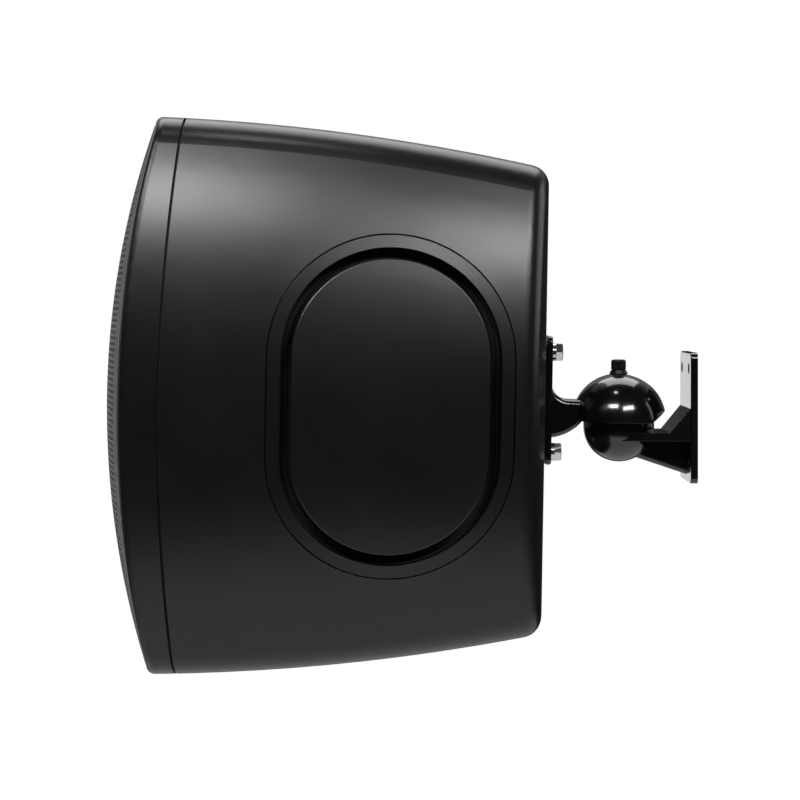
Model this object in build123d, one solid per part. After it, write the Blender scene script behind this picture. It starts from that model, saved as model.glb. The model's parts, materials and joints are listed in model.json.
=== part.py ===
from build123d import *
import os
from math import atan2, cos, hypot, radians, sin, sqrt, tan

# Outdoor patio speaker on a ball-joint wall bracket, in millimetres, +Z up.
# The wall plate's back face lies in X = 0 with the wall on its +X side, and the speaker looks towards -X.
# Everything is symmetric about the XZ plane, so a right piece is the mirror of the left one.

# Wall bracket
PLATE_T = 4.2
PLATE_W = 46.0
PLATE_H = 77.2
PLATE_CORNER_R = 4.0
WALL_HOLE_D = 6.5
WALL_HOLE_PITCH_Y = 28.0
WALL_HOLE_PITCH_Z = 58.0
BALL_D = 42.6
BALL_REACH = 44.3
BALL_DROP = 5.8
ARM_W = 40.0
ARM_DROP = 3.0
ARM_FLANGE_T = 4.8
ARM_WEB_T = 10.0
ARM_WEB_FOOT = 3.4
ARM_WEB_SLOPE = 18.5
BRACE_H = 14.5
BRACE_L = 12.0
CAST_EDGE_R = 1.0
CAST_ROOT_R = 3.0

# Clamp bolt and saddle washer on top of the ball
CLAMP_BOLT_D = 5.0
CLAMP_HEAD_D = 8.9
CLAMP_HEAD_H = 6.4
CLAMP_SOCKET_AF = 4.0
CLAMP_SOCKET_DEPTH = 3.2
CLAMP_THREAD_DEPTH = 16.0
TAPPED_CLEARANCE = 0.1
SADDLE_D = 11.0
SADDLE_TOP_D = 9.2
SADDLE_T = 1.9
SADDLE_KEY_W = 7.8
SADDLE_KEY_L = 7.0
SADDLE_KEY_DEPTH = 6.0
RUNNING_CLEARANCE = 0.3

# Speaker bracket: cup over the ball, arm and speaker plate
CUP_D = 56.6
CUP_RISE = 3.2
CUP_RIM_RISE = 3.2
CUP_NOTCH_START = 17.6
CUP_NOTCH_SLOPE = 36.0
TILT_DOWN = 20.0
TILT_UP = 8.0
TILT_MARGIN = 4.0
AIM_TILT = 1.0
HEAD_RISE = 16.4
BRACKET_REACH = 44.4
SPEAKER_PLATE_T = 2.9
SPEAKER_PLATE_W = 40.0
SPEAKER_PLATE_H = 76.0
SPEAKER_PLATE_RISE = 15.3
BRACKET_BOLT_PITCH = 59.8
BRACKET_BOLT_DROP = 1.6
ARM_NECK_W = 22.0
ARM_NECK_TOP = 15.2
ARM_FOOT_TOP = 26.4
ARM_FOOT_BOTTOM = -7.2
ARM_NECK_R = 11.0
ARM_BELLY = 2.4

# Bolts and inserts that hold the bracket to the cabinet
BRACKET_BOLT_D = 6.0
BRACKET_HEAD_AF = 10.0
BRACKET_HEAD_H = 4.2
HEX_CHAMFER = 0.4
HEX_CHAMFER_ANGLE = 30.0
BRACKET_BOLT_L = 18.0
BOLT_HOLE_CLEARANCE = 0.3
WASHER_D = 11.0
WASHER_T = 1.4
LOCK_WASHER_D = 10.6
LOCK_WASHER_T = 1.6
LOCK_WASHER_CUT = 1.2
LOCK_WASHER_TURN = 35.0
LOCK_WASHER_SLANT = 30.0
INSERT_D = 9.6
INSERT_L = 12.0
BOSS_WALL = 3.0

# Cabinet form
HALF_HEIGHT = 162.3
HALF_WIDTH = 105.0
CABINET_DEPTH = 258.4
CROWN_SETBACK = 4.0
PROFILE_R = 1200.0
PLAN_R = 2400.0
TOP_CROWN_R = 600.0
SIDE_CROWN_R = 390.0
CORNER_R = 26.0
REAR_R = 450.0
REAR_EDGE_R = 12.0
REAR_PAD_H = 1.0
REAR_PAD_INSET = 1.5
WALL_T = 4.5
LOFT_STATIONS = 6
LOFT_MARGIN = 6.0

# Front moulding, seal and grille
GRILLE_SIDE_R = 498.0
GRILLE_PLAN_R = 325.0
GRILLE_T = 1.2
GRILLE_SKIRT = 8.0
GRILLE_SKIRT_T = 1.2
GRILLE_CLEARANCE = 0.4
GRILLE_PITCH = 24.0
GRILLE_BAR = 7.5
GRILLE_BORDER = 8.0
RIM_T = 4.0
RIM_EDGE_R = 5.0
RIM_LEDGE_W = 3.0
RIM_BACK_W = 18.0
SEAM_LEAD = 11.8
SEAM_R = 1650.0
SEAM_GAP = 1.4
SEAM_GROOVE = 2.5
BAFFLE_LEAD = 1.0
BAFFLE_T = 5.0
FRONT_FLANGE_T = 6.0
SEAL_MARGIN = 2.5
BAFFLE_SCREW_INSET = 13.0
BAFFLE_SCREW_Y = 60.0
BAFFLE_SCREW_Z = 75.0
BAFFLE_SCREW_MARGIN = 2.0
BAFFLE_SCREW_L = 21.0
SCREW_D = 3.6
SCREW_HEAD_D = 6.4
SCREW_HEAD_H = 2.2
SCREW_CLEARANCE = 0.2

# Woofer
WOOFER_FLANGE_D = 160.0
WOOFER_FLANGE_T = 3.0
WOOFER_LIP_W = 8.5
WOOFER_SEAT_W = 4.5
WOOFER_SEAT_SINK = 1.8
WOOFER_ROLL_W = 12.0
WOOFER_CONE_T = 0.9
WOOFER_CONE_DEPTH = 23.0
WOOFER_LAND_W = 3.0
SURROUND_T = 0.9
BASKET_DEPTH = 38.0
BASKET_T = 2.5
BASKET_BASE_D = 88.0
BASKET_WINDOWS = 6
BASKET_SPOKE_W = 11.0
WOOFER_SCREW_INSET = 4.0
WOOFER_SCREWS = 6
WOOFER_SCREW_L = 9.5
COIL_D = 25.4
COIL_FORMER_T = 0.3
COIL_WINDING_T = 0.4
COIL_WINDING_L = 10.0
COIL_GAP = 0.4
TOP_PLATE_D = 82.0
TOP_PLATE_T = 5.0
MAGNET_D = 100.0
MAGNET_BORE_D = 50.0
MAGNET_T = 15.0
YOKE_D = 90.0
YOKE_T = 6.0
SPIDER_D = 72.0
SPIDER_T = 0.7
SPIDER_WAVE = 1.4
SPIDER_WAVES = 3
SPIDER_SEAT_W = 4.0
DUST_CAP_D = 36.0
DUST_CAP_RISE = 7.0

# Tweeter
TWEETER_D = 100.0
TWEETER_FLANGE_T = 4.0
HORN_MOUTH_D = 80.0
HORN_THROAT_D = 32.0
HORN_DEPTH = 10.0
HORN_SWELL = 0.56
TWEETER_DOME_D = 25.0
TWEETER_DOME_RISE = 6.0
TWEETER_DOME_T = 0.5
TWEETER_DOME_RIM_W = 2.6
TWEETER_TRAVEL = 0.4
TWEETER_BODY_D = 72.0
TWEETER_BODY_L = 22.0
TWEETER_CHAMBER_L = 5.0
TWEETER_SCREW_INSET = 5.0
TWEETER_SCREWS = 4
TWEETER_SCREW_L = 10.0

# Side radiators
RADIATOR_SETBACK = 167.5
RADIATOR_DROP = 2.5
PANEL_L = 165.4
PANEL_W = 111.0
PANEL_T = 3.5
PANEL_SINK = 0.5
PANEL_EDGE_R = 1.2
PANEL_SKIRT = 22.0
PANEL_SKIRT_T = 3.0
SURROUND_GAP = 6.0
TRIM_W = 7.0
TRIM_T = 2.5
TRIM_SEAM = 0.8
SEAT_CLEARANCE = 0.1
COLLAR_T = 3.0
COLLAR_DEPTH = 27.0
COLLAR_CLEARANCE = 0.4
WELL_T = 3.0
TROUGH_DEPTH = 19.0
TROUGH_T = 0.8
TROUGH_CLEARANCE = 0.05
PRISM_REACH = 20.0

# Crossover board behind the tweeter
BOARD_RISE = 80.0
BOARD_W = 60.0
BOARD_H = 70.0
BOARD_T = 1.6
BOARD_STANDOFF = 12.0
BOARD_POST_D = 8.0
BOARD_HOLE_INSET = 6.0
BOARD_SCREW_L = 8.0
INDUCTOR_D = 34.0
INDUCTOR_BORE_D = 15.0
INDUCTOR_H = 14.0
CAPACITOR_D = 15.0
CAPACITOR_H = 22.0
CAPACITOR_PITCH = 24.0

# Terminal cup on the rear face
TERMINAL_DROP = 85.0
TERMINAL_W = 62.0
TERMINAL_H = 38.0
TERMINAL_DEPTH = 24.0
TERMINAL_WALL = 2.5
TERMINAL_CORNER_R = 8.0
TERMINAL_FLANGE_W = 6.0
TERMINAL_FLANGE_T = 2.5
TERMINAL_SINK = 6.6
TERMINAL_FRAME_T = 6.0
TERMINAL_CLEARANCE = 0.3
TERMINAL_SCREW_Z = 12.0
TERMINAL_SCREW_D = 2.6
TERMINAL_SCREW_HEAD_D = 4.8
TERMINAL_SCREW_L = 8.0
POST_PITCH = 26.0
POST_D = 6.4
POST_LENGTH = 19.0
POST_COLLAR_D = 12.0
POST_COLLAR_T = 2.5
POST_TAIL = 9.0
POST_NUT_AF = 10.0
POST_NUT_T = 3.5
PLUG_BORE_D = 4.1
PLUG_BORE_L = 14.0
CAP_D = 12.8
CAP_L = 10.0
CAP_RISE = 2.5
CAP_FLUTES = 12
CAP_FLUTE_D = 1.6

# Places worked out from the sizes above
BALL_R = BALL_D / 2
CUP_R = CUP_D / 2
CUP_TOP = CUP_RISE + CUP_R
BALL_X = -BALL_REACH
BALL_Z = -BALL_DROP
SPEAKER_PLATE_Z = BALL_Z + SPEAKER_PLATE_RISE
BALL = (BALL_X, 0, BALL_Z)
HEAD_Z = BALL_Z + HEAD_RISE
SPEAKER_PLATE_X = BALL_X - BRACKET_REACH
REAR_X = SPEAKER_PLATE_X - REAR_PAD_H
FRONT_X = REAR_X - CABINET_DEPTH
CROWN_X = FRONT_X + CROWN_SETBACK
GRILLE_FALL = GRILLE_SIDE_R - sqrt(GRILLE_SIDE_R ** 2 - HALF_HEIGHT ** 2)
SEAM_X = FRONT_X + GRILLE_FALL + SEAM_LEAD
SEAL_INSET = BAFFLE_SCREW_INSET + SCREW_D / 2 + SCREW_CLEARANCE + SEAL_MARGIN
BAFFLE_BACK_X = SEAM_X - BAFFLE_LEAD
BAFFLE_X = BAFFLE_BACK_X - BAFFLE_T
INNER_REAR_X = REAR_X - WALL_T
RADIATOR_X = FRONT_X + RADIATOR_SETBACK
RADIATOR_Z = HEAD_Z - RADIATOR_DROP
WOOFER_HOLE_D = WOOFER_FLANGE_D - 2 * WOOFER_LIP_W
WOOFER_SEAT_D = WOOFER_HOLE_D - 2 * WOOFER_SEAT_W
WOOFER_CONE_D = WOOFER_SEAT_D - 2 * WOOFER_ROLL_W
WOOFER_SCREW_PCD = WOOFER_FLANGE_D - 2 * WOOFER_SCREW_INSET
TWEETER_SCREW_PCD = TWEETER_D - 2 * TWEETER_SCREW_INSET
POCKET_HALF_HEIGHT = HALF_HEIGHT - RIM_T - RIM_LEDGE_W
DRIVER_SPACE = (2 * POCKET_HALF_HEIGHT - WOOFER_FLANGE_D - TWEETER_D) / 3
WOOFER_Z = HEAD_Z - POCKET_HALF_HEIGHT + DRIVER_SPACE + WOOFER_FLANGE_D / 2
TWEETER_Z = HEAD_Z + POCKET_HALF_HEIGHT - DRIVER_SPACE - TWEETER_D / 2
TERMINAL_Z = HEAD_Z - TERMINAL_DROP
TERMINAL_SEAT_X = REAR_X - TERMINAL_SINK
TERMINAL_FLOOR_X = TERMINAL_SEAT_X - TERMINAL_DEPTH + TERMINAL_WALL
BOARD_Z = HEAD_Z + BOARD_RISE
BOARD_X = INNER_REAR_X - BOARD_STANDOFF
TALL = 4 * HALF_HEIGHT


def turned(*points):
    """Solid turned about the local Z axis from an outline of (radius, height) points."""
    return revolve(Plane.XZ * make_face(Polyline(*points, close=True)), Axis.Z)


def ring(outer_d, inner_d, height):
    """Flat ring that stands on the local XY plane."""
    outer = Cylinder(outer_d / 2, height, align=(Align.CENTER, Align.CENTER, Align.MIN))
    return outer - Cylinder(inner_d / 2, 2 * height)


def facing_front(x, y, z):
    """Plane at a point of the head whose local Z looks out of the front and local Y looks up."""
    return Plane(origin=(x, y, z), x_dir=(0, -1, 0), z_dir=(-1, 0, 0))


def facing_rear(x, y, z):
    """Plane at a point of the head whose local Z looks out of the rear and local Y looks up."""
    return Plane(origin=(x, y, z), x_dir=(0, 1, 0), z_dir=(1, 0, 0))


def both_sides(y, z):
    """The four places at plus and minus y and z."""
    return [(sy * y, sz * z) for sy in (-1, 1) for sz in (-1, 1)]


def joined(shapes):
    """One group of separate solids."""
    return Compound([solid for shape in shapes for solid in shape.solids()])


def half_height(x):
    """Half height of the cabinet at depth x, on a long arc with its crest near the front."""
    return HALF_HEIGHT - (x - CROWN_X) ** 2 / (2 * PROFILE_R)


def half_width(x):
    """Half width of the cabinet at depth x, on a long arc with its crest near the front."""
    return HALF_WIDTH - (x - CROWN_X) ** 2 / (2 * PLAN_R)


def fall(distance, radius):
    """How far an arc of this radius falls away at a distance from its crest."""
    return radius - sqrt(radius ** 2 - distance ** 2)


def cabinet_section(x, inset):
    """Cabinet outline at depth x, drawn in by inset: four crowned sides with rounded corners."""
    high = half_height(x) - inset
    wide = half_width(x) - inset
    crown_r = SIDE_CROWN_R * half_height(x) / HALF_HEIGHT - inset
    y, z = wide, high
    for _ in range(LOFT_STATIONS * 4):
        y = wide - fall(z, crown_r)
        z = high - fall(y, TOP_CROWN_R - inset)
    sides = [
        ThreePointArc((y, -z), (wide, 0), (y, z)),
        ThreePointArc((y, z), (0, high), (-y, z)),
        ThreePointArc((-y, z), (-wide, 0), (-y, -z)),
        ThreePointArc((-y, -z), (0, -high), (y, -z)),
    ]
    outline = make_face(Wire(sides))
    return facing_rear(x, 0, HEAD_Z) * fillet(outline.vertices(), CORNER_R - inset)


def cabinet_form(inset):
    """Long barrel form of the cabinet, drawn in by inset, open-ended past the front and the rear."""
    start = FRONT_X - LOFT_MARGIN
    step = (CABINET_DEPTH + 2 * LOFT_MARGIN) / (LOFT_STATIONS - 1)
    return loft([cabinet_section(start + step * i, inset) for i in range(LOFT_STATIONS)])


def front_form(depth):
    """Everything behind the curved grille surface set back by depth."""
    radius = GRILLE_PLAN_R - depth
    centre_x = FRONT_X + GRILLE_PLAN_R
    reach = HALF_WIDTH + LOFT_MARGIN
    edge_x = centre_x - sqrt(radius ** 2 - reach ** 2)
    axis_x = FRONT_X + GRILLE_SIDE_R
    arc = ThreePointArc((edge_x, -reach), (FRONT_X + depth, 0), (edge_x, reach))
    back = Polyline((edge_x, reach), (axis_x, reach), (axis_x, -reach), (edge_x, -reach))
    outline = Pos(0, 0, HEAD_Z) * make_face(Wire([arc] + back.edges()))
    return revolve(outline, Axis((axis_x, 0, HEAD_Z), (0, 1, 0)))


def seam_form(depth):
    """Everything behind the curved seam between front moulding and cabinet, set back by depth."""
    return Pos(SEAM_X + SEAM_R, 0, HEAD_Z) * Rot(90, 0, 0) * Cylinder(SEAM_R - depth, TALL)


def rear_form(depth):
    """Everything in front of the curved rear face set in by depth."""
    return Pos(REAR_X - REAR_R, 0, HEAD_Z) * Cylinder(REAR_R - depth, TALL)


def rear_rounded(shape, radius):
    """The shape with the edges of its curved rear face rounded."""
    rear = shape.faces().filter_by(GeomType.CYLINDER).sort_by(Axis.X)[-1]
    return fillet(rear.edges(), radius)


def ahead_of(x):
    """Everything in front of the plane at depth x."""
    return Pos(x - TALL / 2, 0, HEAD_Z) * Box(TALL, TALL, TALL)


def behind(x):
    """Everything behind the plane at depth x."""
    return Pos(x + TALL / 2, 0, HEAD_Z) * Box(TALL, TALL, TALL)


def runs_along_arm(edge):
    """Whether an edge goes from one end of an arm to the other, and not across it."""
    across = edge.position_at(1) - edge.position_at(0)
    return abs(across.X) > BALL_R / 4


def wall_bracket():
    """Casting with the wall plate, the braced arm and the ball."""
    plate = Pos(-PLATE_T / 2, 0, 0) * Box(PLATE_T, PLATE_W, PLATE_H)
    plate = fillet(plate.edges().filter_by(Axis.X), PLATE_CORNER_R)
    plate = fillet(plate.faces().sort_by(Axis.X)[0].edges(), CAST_EDGE_R)
    root_x = -PLATE_T / 2
    arm_top = BALL_Z - ARM_DROP
    arm_low = arm_top - ARM_FLANGE_T
    root_w = PLATE_W - 2 * CAST_EDGE_R
    plan = make_face(Polyline(
        (BALL_X, -ARM_W / 2), (root_x, -root_w / 2), (root_x, root_w / 2), (BALL_X, ARM_W / 2), close=True))
    flange_side = Plane.XZ * make_face(Polyline(
        (BALL_X, arm_top), (-PLATE_T - BRACE_L, arm_top), (-PLATE_T, arm_top + BRACE_H),
        (root_x, arm_top + BRACE_H), (root_x, arm_low), (BALL_X, arm_low), close=True))
    flange = extrude(flange_side, PLATE_W, both=True) & extrude(plan, PLATE_H, both=True)
    foot = ARM_WEB_FOOT - PLATE_H / 2
    slope = tan(radians(ARM_WEB_SLOPE))
    web_top = arm_top - ARM_FLANGE_T / 2
    web_side = Plane.XZ * make_face(Polyline(
        (BALL_X, web_top), (root_x, web_top), (root_x, foot), (BALL_X, foot + (root_x - BALL_X) * slope),
        close=True))
    web = extrude(web_side, ARM_WEB_T / 2, both=True)
    web = fillet(web.faces().sort_by(Axis.Z)[0].edges().filter_by(runs_along_arm), CAST_ROOT_R)
    casting = plate + flange + web + Pos(*BALL) * Rot(0, 0, 180) * Sphere(BALL_R)
    for y, z in both_sides(WALL_HOLE_PITCH_Y / 2, WALL_HOLE_PITCH_Z / 2):
        casting -= Pos(0, y, z) * Rot(0, 90, 0) * Cylinder(WALL_HOLE_D / 2, 4 * PLATE_T)
    tapped_r = CLAMP_BOLT_D / 2 + TAPPED_CLEARANCE
    tapped_z = BALL_Z + BALL_R - CLAMP_THREAD_DEPTH
    tapped = Cylinder(tapped_r, BALL_D, align=(Align.CENTER, Align.CENTER, Align.MIN))
    return casting - Pos(BALL_X, 0, tapped_z) * tapped


def clamp_bolt():
    """Socket-head bolt that clamps the cup on the ball, standing upright in the ball."""
    seat = CUP_TOP + SADDLE_T
    bottom = BALL_R - CLAMP_THREAD_DEPTH + RUNNING_CLEARANCE
    shank = Pos(0, 0, bottom) * Cylinder(
        CLAMP_BOLT_D / 2, seat - bottom, align=(Align.CENTER, Align.CENTER, Align.MIN))
    head = Pos(0, 0, seat) * Cylinder(
        CLAMP_HEAD_D / 2, CLAMP_HEAD_H, align=(Align.CENTER, Align.CENTER, Align.MIN))
    socket = Pos(0, 0, seat + CLAMP_HEAD_H - CLAMP_SOCKET_DEPTH) * extrude(
        RegularPolygon(CLAMP_SOCKET_AF / 2, 6, major_radius=False), CLAMP_SOCKET_DEPTH)
    return Pos(*BALL) * (shank + head - socket)


def saddle_washer():
    """Flared washer with a hollow underside that rides on the cup, keyed into the cup's slot."""
    bottom = CUP_TOP - SADDLE_KEY_DEPTH
    top = CUP_TOP + SADDLE_T
    washer = turned((0, bottom), (SADDLE_D / 2, bottom), (SADDLE_D / 2, CUP_TOP),
                    (SADDLE_TOP_D / 2, top), (0, top))
    washer -= Pos(0, 0, CUP_RISE) * Sphere(CUP_R + RUNNING_CLEARANCE / 2)
    key = Pos(0, 0, bottom) * Box(
        SADDLE_KEY_L, SADDLE_KEY_W, SADDLE_KEY_DEPTH + SADDLE_T / 2,
        align=(Align.CENTER, Align.CENTER, Align.MIN))
    return Pos(*BALL) * (washer + key - Cylinder(CLAMP_BOLT_D / 2 + RUNNING_CLEARANCE, 4 * CUP_TOP))


def speaker_bracket():
    """Casting with the cup over the ball, the waisted arm and the plate on the speaker's back."""
    inside = BALL_R + RUNNING_CLEARANCE
    above_rim = Pos(0, 0, CUP_RIM_RISE) * Box(
        4 * CUP_R, 4 * CUP_R, 4 * CUP_R, align=(Align.CENTER, Align.CENTER, Align.MIN))
    notch = Pos(CUP_NOTCH_START, 0, CUP_RIM_RISE) * Rot(0, -CUP_NOTCH_SLOPE, 0) * Box(
        4 * CUP_R, 4 * CUP_R, CUP_R, align=(Align.CENTER, Align.CENTER, Align.MAX))
    cup = (Pos(0, 0, CUP_RISE) * Sphere(CUP_R) & above_rim) - notch - Sphere(inside)
    plate_face = SPEAKER_PLATE_T - BRACKET_REACH
    neck_x = plate_face + ARM_NECK_R
    neck_z = ARM_FOOT_TOP - ARM_NECK_R
    arm_end = (-inside, CUP_RIM_RISE + CAST_EDGE_R)
    arm_foot = (plate_face, ARM_FOOT_BOTTOM)
    outline = [
        RadiusArc((plate_face, ARM_FOOT_TOP), (neck_x, neck_z), -ARM_NECK_R),
        Line((neck_x, neck_z), (-inside, ARM_NECK_TOP)),
        Line((-inside, ARM_NECK_TOP), arm_end),
        SagittaArc(arm_end, arm_foot, ARM_BELLY),
        Line(arm_foot, (plate_face, ARM_FOOT_TOP)),
    ]
    arm = extrude(Plane.XZ * make_face(Wire(outline)), ARM_NECK_W / 2, both=True)
    rounded = [edge for edge in arm.edges() if runs_along_arm(edge)]
    plate = Pos(plate_face - SPEAKER_PLATE_T / 2, 0, SPEAKER_PLATE_RISE) * Box(
        SPEAKER_PLATE_T, SPEAKER_PLATE_W, SPEAKER_PLATE_H)
    plate = fillet(plate.edges().filter_by(Axis.X), PLATE_CORNER_R)
    plate = fillet(plate.faces().sort_by(Axis.X)[-1].edges(), CAST_EDGE_R)
    casting = cup + fillet(rounded, CAST_ROOT_R) + plate
    slot_from = -CUP_TOP * sin(radians(TILT_UP + TILT_MARGIN))
    slot_to = CUP_TOP * sin(radians(TILT_DOWN + TILT_MARGIN))
    slot_w = SADDLE_KEY_W + RUNNING_CLEARANCE
    slot = Pos((slot_from + slot_to) / 2, 0, 0) * extrude(
        SlotOverall(slot_to - slot_from + SADDLE_KEY_L + slot_w, slot_w), 2 * CUP_R)
    casting = Pos(*BALL) * (casting - slot)
    for place in bracket_bolt_planes(SPEAKER_PLATE_X):
        casting -= place * Cylinder(BRACKET_BOLT_D / 2 + BOLT_HOLE_CLEARANCE, 4 * SPEAKER_PLATE_T)
    return casting


def bracket_bolt_planes(x):
    """Planes on the two bracket bolt axes at depth x, looking out of the rear."""
    middle = SPEAKER_PLATE_Z - BRACKET_BOLT_DROP
    return [facing_rear(x, 0, middle + s * BRACKET_BOLT_PITCH / 2) for s in (-1, 1)]


def bracket_washers():
    """Flat washers on the speaker plate."""
    hole_d = BRACKET_BOLT_D + 2 * BOLT_HOLE_CLEARANCE
    washer = ring(WASHER_D, hole_d, WASHER_T)
    return joined([plane * washer for plane in bracket_bolt_planes(SPEAKER_PLATE_X + SPEAKER_PLATE_T)])


def bracket_lock_washers():
    """Split lock washers between the flat washers and the bolt heads."""
    hole_d = BRACKET_BOLT_D + 2 * BOLT_HOLE_CLEARANCE
    washer = ring(LOCK_WASHER_D, hole_d, LOCK_WASHER_T)
    cut = Pos(LOCK_WASHER_D / 2, 0, 0) * Rot(LOCK_WASHER_SLANT, 0, 0) * Box(
        LOCK_WASHER_D, LOCK_WASHER_CUT, 4 * LOCK_WASHER_T)
    washer -= Rot(0, 0, LOCK_WASHER_TURN) * cut
    seat = SPEAKER_PLATE_X + SPEAKER_PLATE_T + WASHER_T
    return joined([plane * washer for plane in bracket_bolt_planes(seat)])


def bracket_bolts():
    """Hex bolts that hold the bracket to the inserts in the cabinet's back."""
    seat = SPEAKER_PLATE_X + SPEAKER_PLATE_T + WASHER_T + LOCK_WASHER_T
    head = extrude(RegularPolygon(BRACKET_HEAD_AF / 2, 6, major_radius=False), BRACKET_HEAD_H)
    flat_r = BRACKET_HEAD_AF / 2 - HEX_CHAMFER
    slope = (BRACKET_HEAD_AF - flat_r) * tan(radians(HEX_CHAMFER_ANGLE))
    head &= turned((0, 0), (BRACKET_HEAD_AF, 0), (BRACKET_HEAD_AF, BRACKET_HEAD_H - slope),
                   (flat_r, BRACKET_HEAD_H), (0, BRACKET_HEAD_H))
    shank = Cylinder(BRACKET_BOLT_D / 2, BRACKET_BOLT_L, align=(Align.CENTER, Align.CENTER, Align.MAX))
    return joined([plane * (head + shank) for plane in bracket_bolt_planes(seat)])


def threaded_inserts():
    """Brass inserts moulded into the bosses behind the rear pad."""
    insert = Pos(0, 0, -INSERT_L) * ring(INSERT_D, BRACKET_BOLT_D + 2 * TAPPED_CLEARANCE, INSERT_L)
    return joined([plane * insert for plane in bracket_bolt_planes(SPEAKER_PLATE_X)])


def radiator_plane():
    """Plane on the left wall at the radiator's centre, looking straight out of the wall."""
    slope = atan2(RADIATOR_X - CROWN_X, PLAN_R)
    return Plane(origin=(RADIATOR_X, -half_width(RADIATOR_X), RADIATOR_Z),
                 x_dir=(cos(slope), sin(slope), 0), z_dir=(sin(slope), -cos(slope), 0))


def radiator_prism(grow, low=-4 * COLLAR_DEPTH):
    """Round-ended prism through the wall, grown from the panel's outline, from a local height outwards."""
    outline = SlotOverall(PANEL_L + 2 * grow, PANEL_W + 2 * grow, rotation=90)
    return radiator_plane() * extrude(Pos(0, 0, low) * outline, PRISM_REACH - low)


def cabinet(forms):
    """Moulded rear housing, open at the front, with a well for a radiator in each side."""
    body = rear_rounded(forms[0] & rear_form(0), REAR_EDGE_R)
    pad = facing_rear(REAR_X - WALL_T, 0, SPEAKER_PLATE_Z) * extrude(
        RectangleRounded(SPEAKER_PLATE_W - 2 * REAR_PAD_INSET, SPEAKER_PLATE_H - 2 * REAR_PAD_INSET,
                         PLATE_CORNER_R), WALL_T + REAR_PAD_H)
    cavity = rear_rounded(forms[WALL_T] & rear_form(WALL_T), REAR_EDGE_R - WALL_T)
    shell = body + pad - cavity
    flange = forms[WALL_T - SEAT_CLEARANCE] - forms[RIM_BACK_W] - seam_form(SEAM_GAP + FRONT_FLANGE_T)
    shell = (shell + flange) & seam_form(SEAM_GAP)
    for plane in bracket_bolt_planes(SPEAKER_PLATE_X):
        depth = REAR_PAD_H + INSERT_L
        boss = Cylinder(INSERT_D / 2 + BOSS_WALL, depth, align=(Align.CENTER, Align.CENTER, Align.MAX))
        bore = Cylinder(INSERT_D / 2, INSERT_L, align=(Align.CENTER, Align.CENTER, Align.MAX))
        pilot = Cylinder(BRACKET_BOLT_D / 2 + BOLT_HOLE_CLEARANCE, 4 * depth)
        shell = shell + plane * boss - plane * bore - plane * pilot
    shell = with_board_posts(shell)
    shell = with_terminal_seat(shell)
    recess = forms[0] - forms[TRIM_T + SEAT_CLEARANCE]
    trim = SURROUND_GAP + TRIM_W + TRIM_SEAM
    hole = SURROUND_GAP + COLLAR_T + COLLAR_CLEARANCE
    well = forms[TRIM_T + SEAT_CLEARANCE] & (
        radiator_prism(hole + WELL_T, -COLLAR_DEPTH) - radiator_prism(hole))
    cut = (recess & radiator_prism(trim)) + radiator_prism(hole)
    shell = shell + well + mirror(well, about=Plane.XZ)
    shell = shell - cut - mirror(cut, about=Plane.XZ)
    for y, z in baffle_screw_places():
        shell -= facing_front(SEAM_X, y, z) * Cylinder(SCREW_D / 2 + SCREW_CLEARANCE, TALL / 4)
    return shell


def with_board_posts(shell):
    """The housing with four posts on its inner rear wall for the crossover board."""
    for y, z in both_sides(BOARD_W / 2 - BOARD_HOLE_INSET, BOARD_H / 2 - BOARD_HOLE_INSET):
        depth = BOARD_STANDOFF + WALL_T
        post = Cylinder(BOARD_POST_D / 2, depth, align=(Align.CENTER, Align.CENTER, Align.MIN))
        pilot = Cylinder(SCREW_D / 2 + SCREW_CLEARANCE, 2 * BOARD_SCREW_L)
        place = facing_rear(BOARD_X, y, BOARD_Z + z)
        shell = shell + (place * post & rear_form(WALL_T / 2)) - place * pilot
    return shell


def with_terminal_seat(shell):
    """The housing with a thick flat seat and an opening for the terminal cup."""
    seat_w = TERMINAL_W + 2 * TERMINAL_FLANGE_W + 2 * TERMINAL_CLEARANCE
    seat_h = TERMINAL_H + 2 * TERMINAL_FLANGE_W + 2 * TERMINAL_CLEARANCE
    place = facing_rear(TERMINAL_SEAT_X, 0, TERMINAL_Z)
    frame = Pos(0, 0, -TERMINAL_FRAME_T) * extrude(RectangleRounded(
        seat_w + 2 * BOSS_WALL, seat_h + 2 * BOSS_WALL, TERMINAL_CORNER_R), TERMINAL_FRAME_T + TERMINAL_SINK)
    seat = extrude(RectangleRounded(seat_w, seat_h, TERMINAL_CORNER_R), TERMINAL_DEPTH)
    opening = extrude(RectangleRounded(
        TERMINAL_W + 2 * TERMINAL_CLEARANCE, TERMINAL_H + 2 * TERMINAL_CLEARANCE, TERMINAL_CORNER_R),
        2 * TERMINAL_DEPTH, both=True)
    shell = shell + (place * frame & rear_form(WALL_T / 2)) - place * seat - place * opening
    for y, z in terminal_screw_places():
        shell -= place * Pos(y, z, 0) * Cylinder(TERMINAL_SCREW_D / 2 + SCREW_CLEARANCE, 4 * TERMINAL_SCREW_L)
    return shell


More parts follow.
